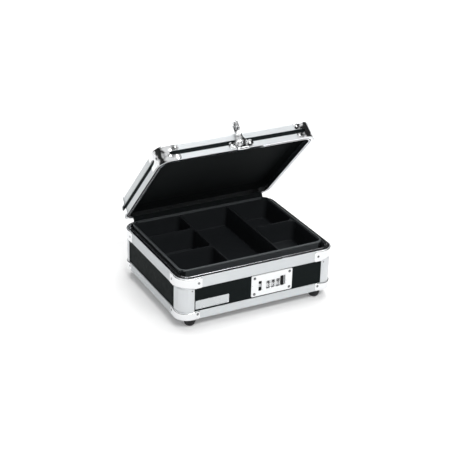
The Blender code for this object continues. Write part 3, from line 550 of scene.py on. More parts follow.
def post(side):
    """A corner post: a bent strip with fine flutes near its two edges."""
    edge = ARC + POST_FLAT
    lip, face, groove = -0.0004, -0.0002, -0.0005
    outer = [(-edge, lip), (-edge + 0.0003, face), (edge - 0.0003, face), (edge, lip)]
    flutes = [edge - 0.0016, edge - 0.0034, edge - 0.0110]
    for middle in [-f for f in flutes] + flutes:
        outer += [(middle - RIB_HALF, face), (middle, groove), (middle + RIB_HALF, face)]
    steps = 14
    smooth_half = flutes[-1] - 2 * RIB_HALF
    outer += [(smooth_half * (2 * n / steps - 1), face) for n in range(steps + 1)]
    outer.sort()
    inner = [(edge * (1 - 2 * n / 20), -SKIN) for n in range(21)]
    loops = [
        [corner_point(s, proud, z, side) for s, proud in outer + inner]
        for z in (PANEL_LOW + GAP, PANEL_HIGH - GAP)
    ]
    return loft(loops)


def domed_plate(side, outline):
    """A cap round one corner, from (s, low, high, crown) columns, with rounded edges."""
    edge = 0.0011
    rounding = [(sin(a), 1 - cos(a)) for a in map(radians, (0, 20, 42, 65, 90))]
    loops = []
    for s, low, high, crown in outline:
        reach = min(edge, (high - low) / 2 - 0.00005)
        section = [(crown * out, low + reach * over) for out, over in rounding]
        section += [(crown * out, high - reach * over) for out, over in reversed(rounding)]
        loops.append([corner_point(s, proud, z, side) for proud, z in section])
    return loft(loops)


def cap_columns(arch, middle, tab, end):
    """Columns of a base cap: arched across the post, then tabs with round ends."""
    post_edge = ARC + POST_FLAT
    end_rounding, thinnest = 0.0009, 0.00012
    half = []
    for n in range(17):
        share = n / 16
        low, high = (a + (m - a) * share**2 for a, m in zip(arch, middle))
        half.append((post_edge * share, low, high, CAP_PROUD))
    half.append((post_edge + 0.0006, *tab, CAP_PROUD - 0.00005))
    half.append((post_edge + 0.0016, *tab, (CAP_PROUD + TAB_PROUD) / 2))
    half.append((post_edge + 0.0026, *tab, TAB_PROUD))
    for a in quarter(9):
        drop = TAB_R * (1 - cos(a))
        s = end - TAB_R + TAB_R * sin(a)
        past = max(0.0, (s - end) / end_rounding + 1)
        crown = TAB_PROUD * sqrt(max(0.0, 1 - past**2))
        half.append((s, tab[0] + drop, tab[1] - drop, max(crown, thinnest)))
    return [(-s, low, high, crown) for s, low, high, crown in reversed(half[1:])] + half


def base_corners():
    """Posts, caps and cap rivets at the base's four corners."""
    top = cap_columns(
        (PANEL_HIGH + 0.0030, RIM_Z - 0.0008),
        (PANEL_HIGH, RIM_Z - 0.0008),
        (PANEL_HIGH - 0.0004, RIM_Z - 0.0008),
        ARC + TOP_TAB,
    )
    bottom = cap_columns(
        (FRAME_Z + 0.0004, PANEL_LOW - 0.0018),
        (FRAME_Z + 0.0004, PANEL_LOW - 0.0002),
        (FRAME_Z + 0.0006, PANEL_LOW - 0.0002),
        ARC + BOTTOM_TAB,
    )
    for corner, side in CORNERS.items():
        piece(f"corner_post_{corner}", post(side), "post", replaces=[f"post_{corner}"], bevel=0.0001)
        for level, columns in (("top", top), ("bottom", bottom)):
            cap = domed_plate(side, columns)
            piece(f"cap_{level}_{corner}", cap, "chrome", replaces=[f"{level}_cap_{corner}"])
        heads = []
        for along, z in CAP_RIVETS_AT:
            for s in (-(ARC + along), ARC + along):
                direction = (0, side[1], 0) if s > 0 else (side[0], 0, 0)
                tall = CAP_RIVET[1] if s > 0 else CAP_PROUD - TAB_PROUD
                head = corner_point(s, TAB_PROUD, z, side)
                heads.append(rivet(direction, head, CAP_RIVET[0], tall, TAB_PROUD))
        small = corner_point(ARC - 0.0010, -0.0002, POST_RIVET_Z, side)
        heads.append(rivet((0, side[1], 0), small, *POST_RIVET, RIVET_FOOT))
        piece(f"cap_rivets_{corner}", merged(*heads), "rivet")


# ---- lid


def lining_fillet(radius, back, inward):
    """(inset, height) points where a lining's wall turns into its flat part."""
    return [
        (LINING_OUT + radius * (1 - cos(a)), back + inward * (0.0010 + radius * (1 - sin(a))))
        for a in quarter(6)
    ]


def lid_frame():
    """The lid's two bands, its channel, its black panel and wall strip, and its lining."""
    rim = [(SKIN, LOW_BAND), (0.0003, LOW_BAND), (0.0, LOW_BAND - 0.0003)]
    rim += list(reversed(ribs(0.0004, LOW_BAND - 0.0002, 0.0008)))
    rim += [(0.0, 0.0006), (0.0002, 0.0002), (0.0006, 0.00005)]
    rim += [(0.0006, LID_WEB), (SKIN, LID_WEB)]
    piece("lid_lower_rim", ring(rim, LID_Z), "band", "lid", replaces=["lid_rim"])
    channel = [(0.0005, 0.0003), (0.0009, 0.0), (GROOVE[0], 0.0)]
    channel += [(GROOVE[0], GROOVE[2]), (GROOVE[1], GROOVE[2]), (GROOVE[1], 0.0)]
    channel += [(RIM_WIDTH - 0.0002, 0.0), (RIM_WIDTH, 0.0002)]
    channel += [(RIM_WIDTH, LID_CHANNEL_DEPTH), (CHANNEL, LID_CHANNEL_DEPTH)]
    channel += [(CHANNEL, LID_WEB), (0.0005, LID_WEB)]
    piece("lid_rim_channel", ring(channel, LID_Z), "polished", "lid")
    low = LID_Z + HIGH_BAND
    edge = [(0.0, low + 0.0003)] + ribs(low, LID_TOP - 0.0012)
    edge += [(0.0, LID_TOP - 0.0016), (0.0002, LID_TOP - 0.0008), (0.0007, LID_TOP - 0.0002)]
    edge += [(0.0015, LID_TOP), (LID_TURN_IN - 0.0002, LID_TOP), (LID_TURN_IN, LID_TOP - 0.0002)]
    edge += [(LID_TURN_IN, LID_TOP - SKIN), (SKIN, LID_TOP - SKIN), (SKIN, low), (0.0003, low)]
    piece("lid_upper_rim", ring(edge), "band", "lid", replaces=["lid_top_edge"])
    under_top = LID_TOP - SKIN - GAP
    thick = PANEL_OUT - PANEL_IN
    field = LID_TURN_IN + GAP
    top = [(PANEL_IN, under_top - thick), (PANEL_IN, under_top), (field, under_top)]
    top += [(field, LID_TOP - 0.0004), (field + 0.0003, LID_TOP - 0.0002)]
    piece("lid_panel", slab(top), "panel", "lid", replaces=["lid_top_panel"])
    wall_low, wall_high = LID_Z + LID_WEB + GAP, under_top - thick - GAP
    wall = [(PANEL_IN, wall_low), (PANEL_IN, wall_high), (PANEL_OUT, wall_high), (PANEL_OUT, wall_low)]
    piece("lid_wall_strip", ring(wall), "panel", "lid", replaces=["lid_wall"])
    lining = [(LINING_IN, wall_high), (LINING_IN, wall_low), (LINING_OUT, wall_low)]
    lining += lining_fillet(0.0045, wall_high, -1)
    piece("lid_inner_lining", slab(lining), "lining", "lid", replaces=["lid_lining"])


def lid_cap(side):
    """A lid corner: a low tab, a waist across the black strip, a high tab and the folded top."""
    rounding = [
        (LID_TAB + LID_TAB_R * (cos(a) - 1), LID_TAB_R * (1 - sin(a)))
        for a in quarter(5)
    ]
    rows = [(flat, LID_Z + 0.0005 + rise) for flat, rise in reversed(rounding)]
    rows += [(flat, LID_Z + LOW_BAND - 0.0003 - drop) for flat, drop in rounding]
    waist = (LID_Z + LOW_BAND - 0.0001, LID_Z + HIGH_BAND)
    for n in range(9):
        share = n / 4 - 1
        z = waist[0] + (waist[1] - waist[0]) * n / 8
        rows.append((-0.0030 + 0.0050 * share**2, z))
    rows += [(flat, LID_Z + HIGH_BAND + 0.0002 + rise) for flat, rise in reversed(rounding)]
    levels = [(flat, (GAP, z), (CAP_PROUD, z)) for flat, z in rows]
    bend = LID_BEND_R
    skin = CAP_PROUD - GAP
    centre = (CAP_PROUD - bend, LID_TOP + CAP_PROUD - bend)
    for a in quarter(6):
        inner = (centre[0] + (bend - skin) * cos(a), centre[1] + (bend - skin) * sin(a))
        outer = (centre[0] + bend * cos(a), centre[1] + bend * sin(a))
        levels.append((LID_TAB, inner, outer))
    under, over = LID_TOP + GAP, LID_TOP + CAP_PROUD
    fold_end = 0.0040
    for n in range(1, 9):
        share = n / 8
        inset = centre[0] - (LID_FOLD + centre[0]) * share
        flat = fold_end + (LID_TAB - fold_end) * sqrt(1 - share**3)
        levels.append((flat, (inset, under), (inset, over - 0.0002 * share)))
    columns = [ARC * n / 12 for n in range(13)]
    columns += [ARC + LID_TAB * n / 10 for n in range(1, 11)]
    columns = [-c for c in reversed(columns[1:])] + columns
    bm = bmesh.new()
    sheets = ([], [])
    for flat, *faces in levels:
        limit = ARC + flat
        for sheet, (proud, z) in zip(sheets, faces):
            clamped = [max(-limit, min(limit, c)) for c in columns]
            sheet.append([bm.verts.new(corner_point(s, proud, z, side)) for s in clamped])
    back, front = sheets
    last_row, last_column = len(levels) - 1, len(columns) - 1
    for r in range(last_row):
        for c in range(last_column):
            for rows_of in sheets:
                bm.faces.new(
                    (rows_of[r][c], rows_of[r][c + 1], rows_of[r + 1][c + 1], rows_of[r + 1][c])
                )
        for c in (0, last_column):
            bm.faces.new((back[r][c], front[r][c], front[r + 1][c], back[r + 1][c]))
    for c in range(last_column):
        for r in (0, last_row):
            bm.faces.new((back[r][c], back[r][c + 1], front[r][c + 1], front[r][c]))
    nearly_one = 0.000004
    bmesh.ops.remove_doubles(bm, verts=bm.verts, dist=nearly_one)
    bmesh.ops.dissolve_degenerate(bm, edges=bm.edges, dist=nearly_one)
    return bm


def lid_corners():
    """Caps and cap rivets at the lid's four corners."""
    for corner, side in CORNERS.items():
        piece(
            f"lid_corner_{corner}", lid_cap(side), "pressed", "lid",
            replaces=[f"lid_cap_{corner}"], bevel=0.00022, sharp=40,
        )
        heads = []
        for rise in (0.0046, 0.0196):
            head = corner_point(ARC + LID_TAB - 0.0042, CAP_PROUD, LID_Z + rise, side)
            heads.append(rivet((0, side[1], 0), head, *LID_RIVET, RIVET_FOOT))
        piece(f"lid_cap_rivets_{corner}", merged(*heads), "chrome", "lid")


# ---- inside


def base_lining():
    """The base's dark inner shell, cut away round the lock case."""
    low, high = FRAME_Z + SKIN + GAP + 0.0030 + GAP, RIM_Z - SKIN - GAP
    profile = [(LINING_IN, low), (LINING_IN, high), (LINING_OUT, high)]
    profile += lining_fillet(0.0035, low, 1)
    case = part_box("lock_case")
    hole = block(
        (case[0].x - GAP, case[1].x + GAP),
        (FRONT - 0.0020, FRONT + LINING_OUT + 0.0040),
        (case[0].z - GAP, case[1].z + GAP),
    )
    shape = combined(slab(profile), "DIFFERENCE", hole)
    piece("inner_lining", shape, "lining", replaces=["base_lining"])


TRAY_X, TRAY_Y, TRAY_R = 0.1181, (-0.0850, 0.0935), 0.0130
TRAY_LIP, TRAY_WALL, DIVIDER = 0.0010, 0.0022, 0.0020
DIVIDER_DROP = 0.0030
OUTER_CELL_R, INNER_CELL_R = 0.0095, 0.0060
# painted shade: a dark sheet that fills the gap between the open lid and the base
SHADE_SHEET_X, SHADE_SHEET_T, SHADE_SHEET_CLEAR = 0.1120, 0.0004, 0.0002
SHADE_SHEET_LOW, SHADE_SHEET_OVERLAP = radians(-2.5), radians(4.0)
DIVIDER_X = (-0.0380, 0.0450)
LEFT_CROSS_Y, RIGHT_CROSS_Y = (-0.0240, 0.0400), 0.0030


def tray():
    """The divided tray, whose cells have a rougher finish than its outside and a darker copy of its
    plastic, painted shade.
    """
    low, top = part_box("tray")[0].z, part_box("tray")[1].z

    def outline(inset, z, steps=12):
        x = (-TRAY_X + inset, TRAY_X - inset)
        y = (TRAY_Y[0] + inset, TRAY_Y[1] - inset)
        return [(px, py, z) for px, py in rounded_rect(x, y, TRAY_R - inset, steps)]

    sections = [(TRAY_LIP + 0.0042, low), (TRAY_LIP + 0.0030, low + 0.0004)]
    sections += [(TRAY_LIP + 0.0022, low + 0.0014), (TRAY_LIP, top - 0.0031)]
    sections += [(0.0002, top - 0.0028), (0.0, top - 0.0024), (0.0, top - 0.0008)]
    sections += [(0.0002, top - 0.0003), (0.0007, top)]
    body = loft([outline(*s) for s in sections])
    wall = TRAY_LIP + TRAY_WALL
    mouth = loft([outline(wall - 0.0003, top - DIVIDER_DROP), outline(wall - 0.0008, top + 0.003)])
    body = combined(body, "DIFFERENCE", mouth)
    half = DIVIDER / 2
    left = (-TRAY_X + wall, DIVIDER_X[0] - half)
    middle = (DIVIDER_X[0] + half, DIVIDER_X[1] - half)
    right = (DIVIDER_X[1] + half, TRAY_X - wall)
    front, back = TRAY_Y[0] + wall, TRAY_Y[1] - wall
    cells = [
        (left, (front, LEFT_CROSS_Y[0] - half), OUTER_CELL_R),
        (left, (LEFT_CROSS_Y[0] + half, LEFT_CROSS_Y[1] - half), INNER_CELL_R),
        (left, (LEFT_CROSS_Y[1] + half, back), OUTER_CELL_R),
        (middle, (front, back), INNER_CELL_R),
        (right, (front, RIGHT_CROSS_Y - half), OUTER_CELL_R),
        (right, (RIGHT_CROSS_Y + half, back), OUTER_CELL_R),
    ]
    floor = low + DIVIDER
    cell_profile = [(0.0042, 0), (0.0030, 0.0002), (0.0020, 0.0008), (0.0015, 0.0018)]
    cell_profile.append((0.0, top - floor - 0.0010))
    cutters = []
    for x, y, radius in cells:
        loops = []
        for inset, rise in cell_profile:
            px, py = (x[0] + inset, x[1] - inset), (y[0] + inset, y[1] - inset)
            loops.append([(a, b, floor + rise) for a, b in rounded_rect(px, py, radius - inset, 8)])
        cutters.append(loft(loops))
    shape = combined(body, "DIFFERENCE", *cutters)
    obj = piece("coin_tray", shape, "tray", "tray", replaces=["tray"], bevel=0.0004, sharp=30)
    # painted shade: the faces inside the walls, above the floor and below the top, get the darker copy of
    # the plastic
    obj.data.materials.append(LOOKS["tray_inside"])
    hair = 0.0001
    x, y = TRAY_X - wall + hair, (front - hair, back + hair)
    for face in obj.data.polygons:
        centre = face.center
        within = abs(centre.x) < x and y[0] < centre.y < y[1]
        if within and low + 0.0010 < centre.z < top - 0.0005:
            face.material_index = 1


def back_flap():
    """A dark sheet of painted shade inside, fitted to the open lid, that bridges the gap between the lid
    and the base.
    """
    axis = Vector((0, HINGE.y - MIDDLE_Y, HINGE.z))
    reach = axis.y - (BACK - RIM_WIDTH) + SHADE_SHEET_CLEAR
    low, high = SHADE_SHEET_LOW, SHADE_SHEET_LOW + LID_OPEN + SHADE_SHEET_OVERLAP
    steps = 20
    loops = []
    for n in range(steps + 1):
        a = low + (high - low) * n / steps
        inner, outer = (
            Vector((0, axis.y - r * cos(a), axis.z + r * sin(a)))
            for r in (reach, reach + SHADE_SHEET_T)
        )
        loops.append([(x, p.y, p.z) for p, x in ((inner, -SHADE_SHEET_X), (inner, SHADE_SHEET_X),
                                                 (outer, SHADE_SHEET_X), (outer, -SHADE_SHEET_X))])
    obj = shown("lid_back_flap", loft(loops), "lining")
    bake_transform(obj)


# ---- lock


PLATE_CENTRE, PLATE_SIZE = (0.0210, 0.0478), (0.0680, 0.0344)
PLATE_PROUD, PLATE_BACK = 0.0003, 0.0012
SLOT = ((HASP_X, 0.0466), (0.0050, 0.0160))
DIAL_R, DIAL_WIDTH, DIAL_WINDOW = 0.0076, 0.0058, (0.0064, 0.0126)
PLATE_RIVET_IN = (0.0050, 0.0044)
DIAL_HUB = 0.0014
DIGIT_TURN = 36  # degrees from one digit to the next
FLAT_SHARE = cos(radians(DIGIT_TURN / 2))  # a flat's distance from the axis over DIAL_R
THUMB_X, THUMB_Z = (0.0352, 0.0396), (0.0412, 0.0556)
BOLT_TRAVEL = JOINTS["lock_release"]["range_m"][1]


def stepped_plate(x, z, sections, steps=5):
    """A rounded rectangle facing the front, skinned through (inset, y, radius) sections."""
    loops = []
    for inset, y, radius in sections:
        wide, tall = (x[0] + inset, x[1] - inset), (z[0] + inset, z[1] - inset)
        loops.append([(px, y, pz) for px, pz in rounded_rect(wide, tall, radius, steps)])
    return loft(loops)


def window(x, z, radius):
    """A cutter for the lock plate whose mouth is bevelled."""
    face, bevel = FRONT - PLATE_PROUD, 0.0008
    sections = [(-bevel, face - 0.0004, radius + bevel), (0.0, face + 0.0004, radius)]
    return stepped_plate(x, z, sections + [(0.0, FRONT + 0.006, radius)])


def lock_plate():
    """The lock's face with its windows and rivets."""
    x, z = centred(PLATE_CENTRE, PLATE_SIZE)
    edge = ((0.0, PLATE_BACK), (0.0, 0.0002), (0.0002, -0.0001), (0.0006, -PLATE_PROUD))
    plate = stepped_plate(x, z, [(inset, FRONT + y, 0.0022 - inset / 2) for inset, y in edge], 6)
    cutters = [window(*centred(*SLOT), 0.0006)]
    for axis in DIAL_AXES:
        cutters.append(window(*centred((axis.x, axis.z), DIAL_WINDOW), 0.0008))
    thumb_x = (THUMB_X[0] - GAP, THUMB_X[1] + BOLT_TRAVEL + GAP)
    cutters.append(window(thumb_x, (THUMB_Z[0] - GAP, THUMB_Z[1] + GAP), 0.0008))
    piece("lock_face", combined(plate, "DIFFERENCE", *cutters), "plate", replaces=["lock_plate"])
    profile = [(0.0010, -0.0045), (0.0010, 0.0), (0.0022, 0.00005), (0.0021, 0.0004)]
    profile += [(0.0017, 0.0008), (0.0010, 0.00105), (0.0003, 0.0011)]
    heads = [
        lathe(profile, facing((0, -1, 0), (px, FRONT - PLATE_PROUD, pz)))
        for px in (x[0] + PLATE_RIVET_IN[0], x[1] - PLATE_RIVET_IN[0])
        for pz in (z[0] + PLATE_RIVET_IN[1], z[1] - PLATE_RIVET_IN[1])
    ]
    rivets = [f"lock_rivet_{n}" for n in (1, 2, 3, 4)]
    piece("lock_face_rivets", merged(*heads), "rivet", replaces=rivets)
    badge()


def badge():
    """The blank name plate: a sunk field inside a raised border."""
    low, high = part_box("badge_plate")
    x, z = (low.x, high.x), (low.z, high.z)
    face = low.y - MIDDLE_Y
    sections = [(0.0, PLATE_BACK + FRONT), (0.0, face + 0.0002), (0.0002, face)]
    sections += [(0.0009, face), (0.0012, face + 0.0003), (0.0016, face + 0.0003)]
    shape = stepped_plate(x, z, [(inset, y, 0.0010 - inset / 3) for inset, y in sections])
    piece("name_plate", shape, "satin", replaces=["badge_plate"])


def dial_wheel(axis):
    """A ten-sided number wheel with rounded edges and a hub on its left."""
    y, z = axis.y - MIDDLE_Y, axis.z
    half, bevel, bore, hub = DIAL_WIDTH / 2, 0.0006, 0.0018, 0.0042
    sections = [(-half - DIAL_HUB, bore), (-half - DIAL_HUB, hub), (-half, hub)]
    sections += [(-half, DIAL_R - bevel), (-half + bevel, DIAL_R), (half - bevel, DIAL_R)]
    sections += [(half, DIAL_R - bevel), (half, bore)]
    loops = []
    for px, r in sections:
        loop = []
        for n in range(40):
            degrees = 360 * n / 40
            a = radians(degrees)
            turn = (degrees + DIGIT_TURN / 2) % DIGIT_TURN - DIGIT_TURN / 2
            flat = FLAT_SHARE / cos(radians(turn)) if r > hub else 1.0
            reach = r * (flat + 0.25 * (1 - flat))
            loop.append((axis.x + px, y - reach * cos(a), z + reach * sin(a)))
        loops.append(loop)
    return loft(loops, closed=True)


def digits(axis):
    """The ten digits of one wheel, each standing a hair proud of its flat."""
    centre = Vector((axis.x, axis.y - MIDDLE_Y, axis.z))
    shapes = []
    reach = DIAL_R * FLAT_SHARE + 0.00006
    for number in range(10):
        curve = bpy.data.curves.new("digit", "FONT")
        curve.body = str(number)
        curve.size = 0.0060
        curve.align_x, curve.align_y = "CENTER", "CENTER"
        curve.extrude = 0.00008
        curve.offset = 0.00014
        curve.resolution_u = 4
        obj = added("digit", curve)
        graph = bpy.context.evaluated_depsgraph_get()
        mesh = bpy.data.meshes.new_from_object(obj.evaluated_get(graph))
        bpy.data.objects.remove(obj, do_unlink=True)
        turn = Matrix.Rotation(radians(DIGIT_TURN * number), 4, "X")
        stand = Matrix.Translation((0, -reach, 0)) @ Matrix.Rotation(pi / 2, 4, "X")
        mesh.transform(Matrix.Translation(centre) @ turn @ stand)
        shape = bmesh.new()
        shape.from_mesh(mesh)
        shapes.append(shape)
    return merged(*shapes)


def dials():
    """The three number wheels and their digits."""
    for n, axis in enumerate(DIAL_AXES, 1):
        piece(f"number_wheel_{n}", dial_wheel(axis), "dial", f"dial_{n}", replaces=[f"dial_{n}"])
        piece(f"number_wheel_{n}_digits", digits(axis), "ink", f"dial_{n}")


def release():
    """The slider's silver cover and its dark ridged thumb piece."""
    low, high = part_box("release_slider")
    front = low.y - MIDDLE_Y
    cover_y = (FRONT + 0.0019, FRONT + 0.0031)
    cover = prism_y(rounded_rect((low.x, high.x), (low.z, high.z), 0.0008), cover_y)
    piece("slider_cover", cover, "satin", "release", replaces=["release_slider"], bevel=0.0002)
    outline = rectangle(THUMB_X, THUMB_Z)
    grip = [prism_y(softened(outline, 0.0008), (front + 0.0008, cover_y[0] + 0.0001))]
    count = 7
    tall = (THUMB_Z[1] - THUMB_Z[0]) / count
    ridge_x = (THUMB_X[0] + 0.0004, THUMB_X[1] - 0.0004)
    for n in range(count):
        z = THUMB_Z[0] + tall * (n + 0.5)
        ridge = rectangle(ridge_x, (z - tall * 0.42, z + tall * 0.30))
        grip.append(prism_y(softened(ridge, 0.0003), (front, front + 0.0010)))
    piece("slider_thumb", merged(*grip), "thumb", "release", bevel=0.0002)


# ---- hinges, hasp, feet


def screw(direction, point, radius, height=0.0006):
    """A countersunk screw head with a cross recess."""
    profile = [(radius, -0.0002), (radius, 0.0), (radius * 0.92, height * 0.45)]
    profile += [(radius * 0.7, height * 0.8), (radius * 0.4, height), (radius * 0.05, height)]
    place = facing(direction, point)
    head = lathe(profile, place)
    bars = []
    for x, y in ((0.62, 0.13), (0.13, 0.62)):
        corners = rectangle((-radius * x, radius * x), (-radius * y, radius * y))
        heights = (height * 0.35, height * 2)
        bars.append(loft([[place @ Vector((*corner, h)) for corner in corners] for h in heights]))
    return combined(head, "DIFFERENCE", *bars)


HINGE_X, HINGE_HALF = 0.0700, 0.0190
KNUCKLE_R, PIN_BORE_R, PIN_R = 0.0030, 0.0017, 0.0014
HINGE_SCREW_R, HINGE_SCREW_X = 0.0026, (-0.0135, 0.0, 0.0135)


def hinges():
    """Two rear hinges: a leaf with knuckles on each body, its screws, and a pin."""
    axis_y, axis_z = HINGE.y - MIDDLE_Y, HINGE.z
    leaf_y = (BACK + GAP, BACK + GAP + SKIN)
    web_y = (BACK + GAP + 0.0004, axis_y)
    third = 2 * HINGE_HALF / 3
    for side, sign in (("left", -1), ("right", 1)):
        x = sign * HINGE_X
        ends = [
            (x - HINGE_HALF, x - HINGE_HALF + third - GAP),
            (x + HINGE_HALF - third + GAP, x + HINGE_HALF),
        ]
        middle = [(x - third / 2 + GAP / 2, x + third / 2 - GAP / 2)]
        leaf_x = (x - HINGE_HALF, x + HINGE_HALF)
        plans = (
            ("base", ends, (RIM_Z - 0.0150, RIM_Z - 0.0030), (RIM_Z - 0.0040, axis_z - 0.0010)),
            ("lid", middle, (LID_Z + 0.0050, LID_Z + 0.0170), (axis_z + 0.0010, LID_Z + 0.0060)),
        )
        for body, spans, leaf_z, web_z in plans:
            leaf = prism_y(rounded_rect(leaf_x, leaf_z, 0.0016), leaf_y)
            joined = []
            for span in spans:
                joined.append(block((span[0] + 0.0001, span[1] - 0.0001), web_y, web_z))
                joined.append(cylinder_x(span, axis_y, axis_z, KNUCKLE_R))
            leaf = combined(leaf, "UNION", *joined)
            bore = cylinder_x((leaf_x[0] - 0.002, leaf_x[1] + 0.002), axis_y, axis_z, PIN_BORE_R)
            leaf = combined(leaf, "DIFFERENCE", bore)
            name = f"hinge_{body}_leaf_{side}"
            piece(f"rear_{name}", leaf, "satin", body, replaces=[name], bevel=0.0002)
            z = sum(leaf_z) / 2
            screws = [
                screw((0, 1, 0), (x + offset, leaf_y[1] - 0.0001, z), HINGE_SCREW_R)
                for offset in HINGE_SCREW_X
            ]
            piece(f"rear_{name}_screws", merged(*screws), "steel", body)
        pin = cylinder_x((leaf_x[0] - 0.0006, leaf_x[1] + 0.0006), axis_y, axis_z, PIN_R)
        piece(f"rear_hinge_pin_{side}", pin, "steel", replaces=[f"hinge_pin_{side}"])


BARREL_R, BORE_R, HASP_PIN_R = 0.0021, 0.0012, 0.0009
KNUCKLE_HALF, BARREL_HALF = 0.0044, 0.0088
PLATE_T, PLATE_RIVET = 0.0010, (0.0020, 0.0008)
ARM_LENGTH, ARM_T = 0.0420, 0.0012
STAPLE_Z, STAPLE_HALF = (0.0410, 0.0522), 0.0012


def hasp_rod(start, end, radius, steps=28, edge=0.0002):
    """A rod on the hasp's axis, its ends measured from the hasp's middle."""
    return cylinder_x((HASP_X + start, HASP_X + end), HASP_AXIS.y, HASP_AXIS.z, radius, steps, edge)


def hasp_bore():
    """A cutter for the hasp pin's hole."""
    reach = BARREL_HALF + 0.0032
    return hasp_rod(-reach, reach, BORE_R, 32, 0.0003)


def hasp_plate():
    """The hasp's winged plate on the lid, its two barrels, rivets and pin."""
    wing = [(0.0165, 0.0012), (0.0190, 0.0030), (0.0200, 0.0060), (0.0190, 0.0100)]
    wing += [(0.0165, 0.0122), (0.0135, 0.0122), (0.0100, 0.0085)]
    outline = softened([(HASP_X + x, LID_Z + z) for x, z in mirrored(wing)], 0.0016, 4)
    plate = prism_y(outline, (FRONT - GAP - PLATE_T, FRONT - GAP))
    inner = KNUCKLE_HALF + GAP
    joined = []
    for start, end in ((-BARREL_HALF, -inner), (inner, BARREL_HALF)):
        web_x = (HASP_X + start + 0.0001, HASP_X + end - 0.0001)
        web_y = (HASP_AXIS.y + 0.0006, FRONT - GAP - 0.0001)
        joined.append(block(web_x, web_y, (LID_Z + 0.0003, LID_Z + 0.0025)))
        joined.append(hasp_rod(start, end, BARREL_R))
    plate = combined(combined(plate, "UNION", *joined), "DIFFERENCE", hasp_bore())
    piece("hasp_hinge_plate", plate, "pressed", "lid", replaces=["hasp_base"], bevel=0.0002)
    heads = [
        rivet((0, -1, 0), (HASP_X + x, FRONT - GAP - PLATE_T, LID_Z + 0.0064), *PLATE_RIVET)
        for x in (-0.0146, 0.0146)
    ]
    piece("hasp_plate_rivets", merged(*heads), "chrome", "lid")
    pin = hasp_rod(-BARREL_HALF, BARREL_HALF, HASP_PIN_R, 20)
    piece("hasp_hinge_pin", pin, "steel", "lid", replaces=["hasp_pin"])


def hasp_arm():
    """The hasp's swinging strap with turned edges, its bosses and its staple."""
    side = [(0.0042, 0.0010), (0.0042, 0.0028), (0.0085, 0.0032), (0.0108, 0.0085)]
    side += [(0.0108, 0.0110), (0.0085, 0.0132), (0.0062, 0.0165), (0.0052, 0.0210)]
    side += [(0.0052, ARM_LENGTH - 0.0030), (0.0044, ARM_LENGTH - 0.0008), (0.0026, ARM_LENGTH)]
    outline = [(HASP_X + x, HASP_AXIS.z - drop) for x, drop in mirrored(side)]
    outline = softened(outline, 0.0022, 4)
    arm_y = (HASP_AXIS.y - ARM_T / 2, HASP_AXIS.y + ARM_T / 2)
    arm = prism_y(outline, arm_y)
    joined = [hasp_rod(-KNUCKLE_HALF, KNUCKLE_HALF, BARREL_R)]
    for sign in (-1, 1):
        inner, outer = sorted((sign * 0.0041, sign * 0.00515))
        edge_y = (HASP_AXIS.y, HASP_AXIS.y + ARM_T / 2 + 0.0013)
        edge_z = (HASP_AXIS.z - ARM_LENGTH + 0.0032, HASP_AXIS.z - 0.0215)
        joined.append(block((HASP_X + inner, HASP_X + outer), edge_y, edge_z))
    arm = combined(combined(arm, "UNION", *joined), "DIFFERENCE", hasp_bore())
    piece("hasp_strap", arm, "pressed", "hasp", replaces=["hasp_arm"], bevel=0.00025)
    bosses = []
    boss, small_boss = (0.0030, 0.0012), (0.0014, 0.0006)
    for x, drop, size in ((0.0018, 0.0085, boss), (0.0072, 0.0092, small_boss),
                          (-0.0055, 0.0092, small_boss)):
        point = (HASP_X + x, arm_y[1], HASP_AXIS.z - drop)
        bosses.append(rivet((0, 1, 0), point, *size, RIVET_FOOT))
    for drop in (0.0315, 0.0395):
        point = (HASP_X, arm_y[0], HASP_AXIS.z - drop)
        bosses.append(rivet((0, -1, 0), point, 0.0019, 0.0007, RIVET_FOOT))
    piece("hasp_bosses", merged(*bosses), "rivet", "hasp")
    hasp_staple(arm_y[1] + GAP)


def hasp_staple(near):
    """The loop on the arm's back that goes into the lock plate's slot, from its near side."""
    outline = softened(rectangle((near, FRONT + 0.0072), STAPLE_Z), 0.0022, 5)
    bar = 0.0024
    eye = rectangle((FRONT + 0.0007, FRONT + 0.0052), (STAPLE_Z[0] + bar, STAPLE_Z[1] - bar))
    shape, hole = (
        loft([[(HASP_X + x, y, z) for y, z in points] for x in (-half, half)])
        for points, half in ((outline, STAPLE_HALF), (softened(eye, 0.0010, 4), 0.003))
    )
    staple = combined(shape, "DIFFERENCE", hole)
    piece("hasp_loop", staple, "chrome", "hasp", replaces=["hasp_staple"], bevel=0.0004)


FOOT_X, FOOT_Y = 0.1040, 0.0860
FOOT_SCREW, FOOT_SCREW_Z = (0.0027, 0.0010), 0.0030


def feet():
    """Turned rubber feet, each with a screw sunk in its underside."""
    profile = [(0.0016, 0.0030), (0.0030, 0.0030), (0.0034, 0.0006), (0.0040, 0.0), (0.0048, 0.0001)]
    profile += [(0.0056, 0.0005), (0.0064, 0.0011), (0.0071, 0.0019), (0.0077, 0.0030)]
    profile += [(0.0082, 0.0043), (0.0086, 0.0060), (0.0088, 0.0078), (0.0090, 0.0100)]
    profile += [(0.0090, 0.0148), (0.0088, 0.0152)]
    for corner, side in CORNERS.items():
        at = Matrix.Translation((side[0] * FOOT_X, side[1] * FOOT_Y, 0))
        piece(f"rubber_foot_{corner}", lathe(profile, at, 48), "rubber", replaces=[f"foot_{corner}"])
        head = screw((0, 0, -1), at @ Vector((0, 0, FOOT_SCREW_Z)), *FOOT_SCREW)
        piece(f"foot_screw_{corner}", head, "steel")


def kept_nodes():
    """The CAD's own plain pieces, shown as they are with finer materials."""
    styles = {
        "panel": ("front_panel", "back_panel", "left_panel", "right_panel", "bottom_panel"),
        "lining": ("tray_ledge_left", "tray_ledge_right"),
        "blackened": ("lock_case",),
        "steel": ("dial_axle", "bolt_spring", "lock_bolt"),
    }
    for style, names in styles.items():
        for node in (frame["nodes"][name] for name in names):
            node.data.materials.clear()
            node.data.materials.append(LOOKS[style])


# ---- stage


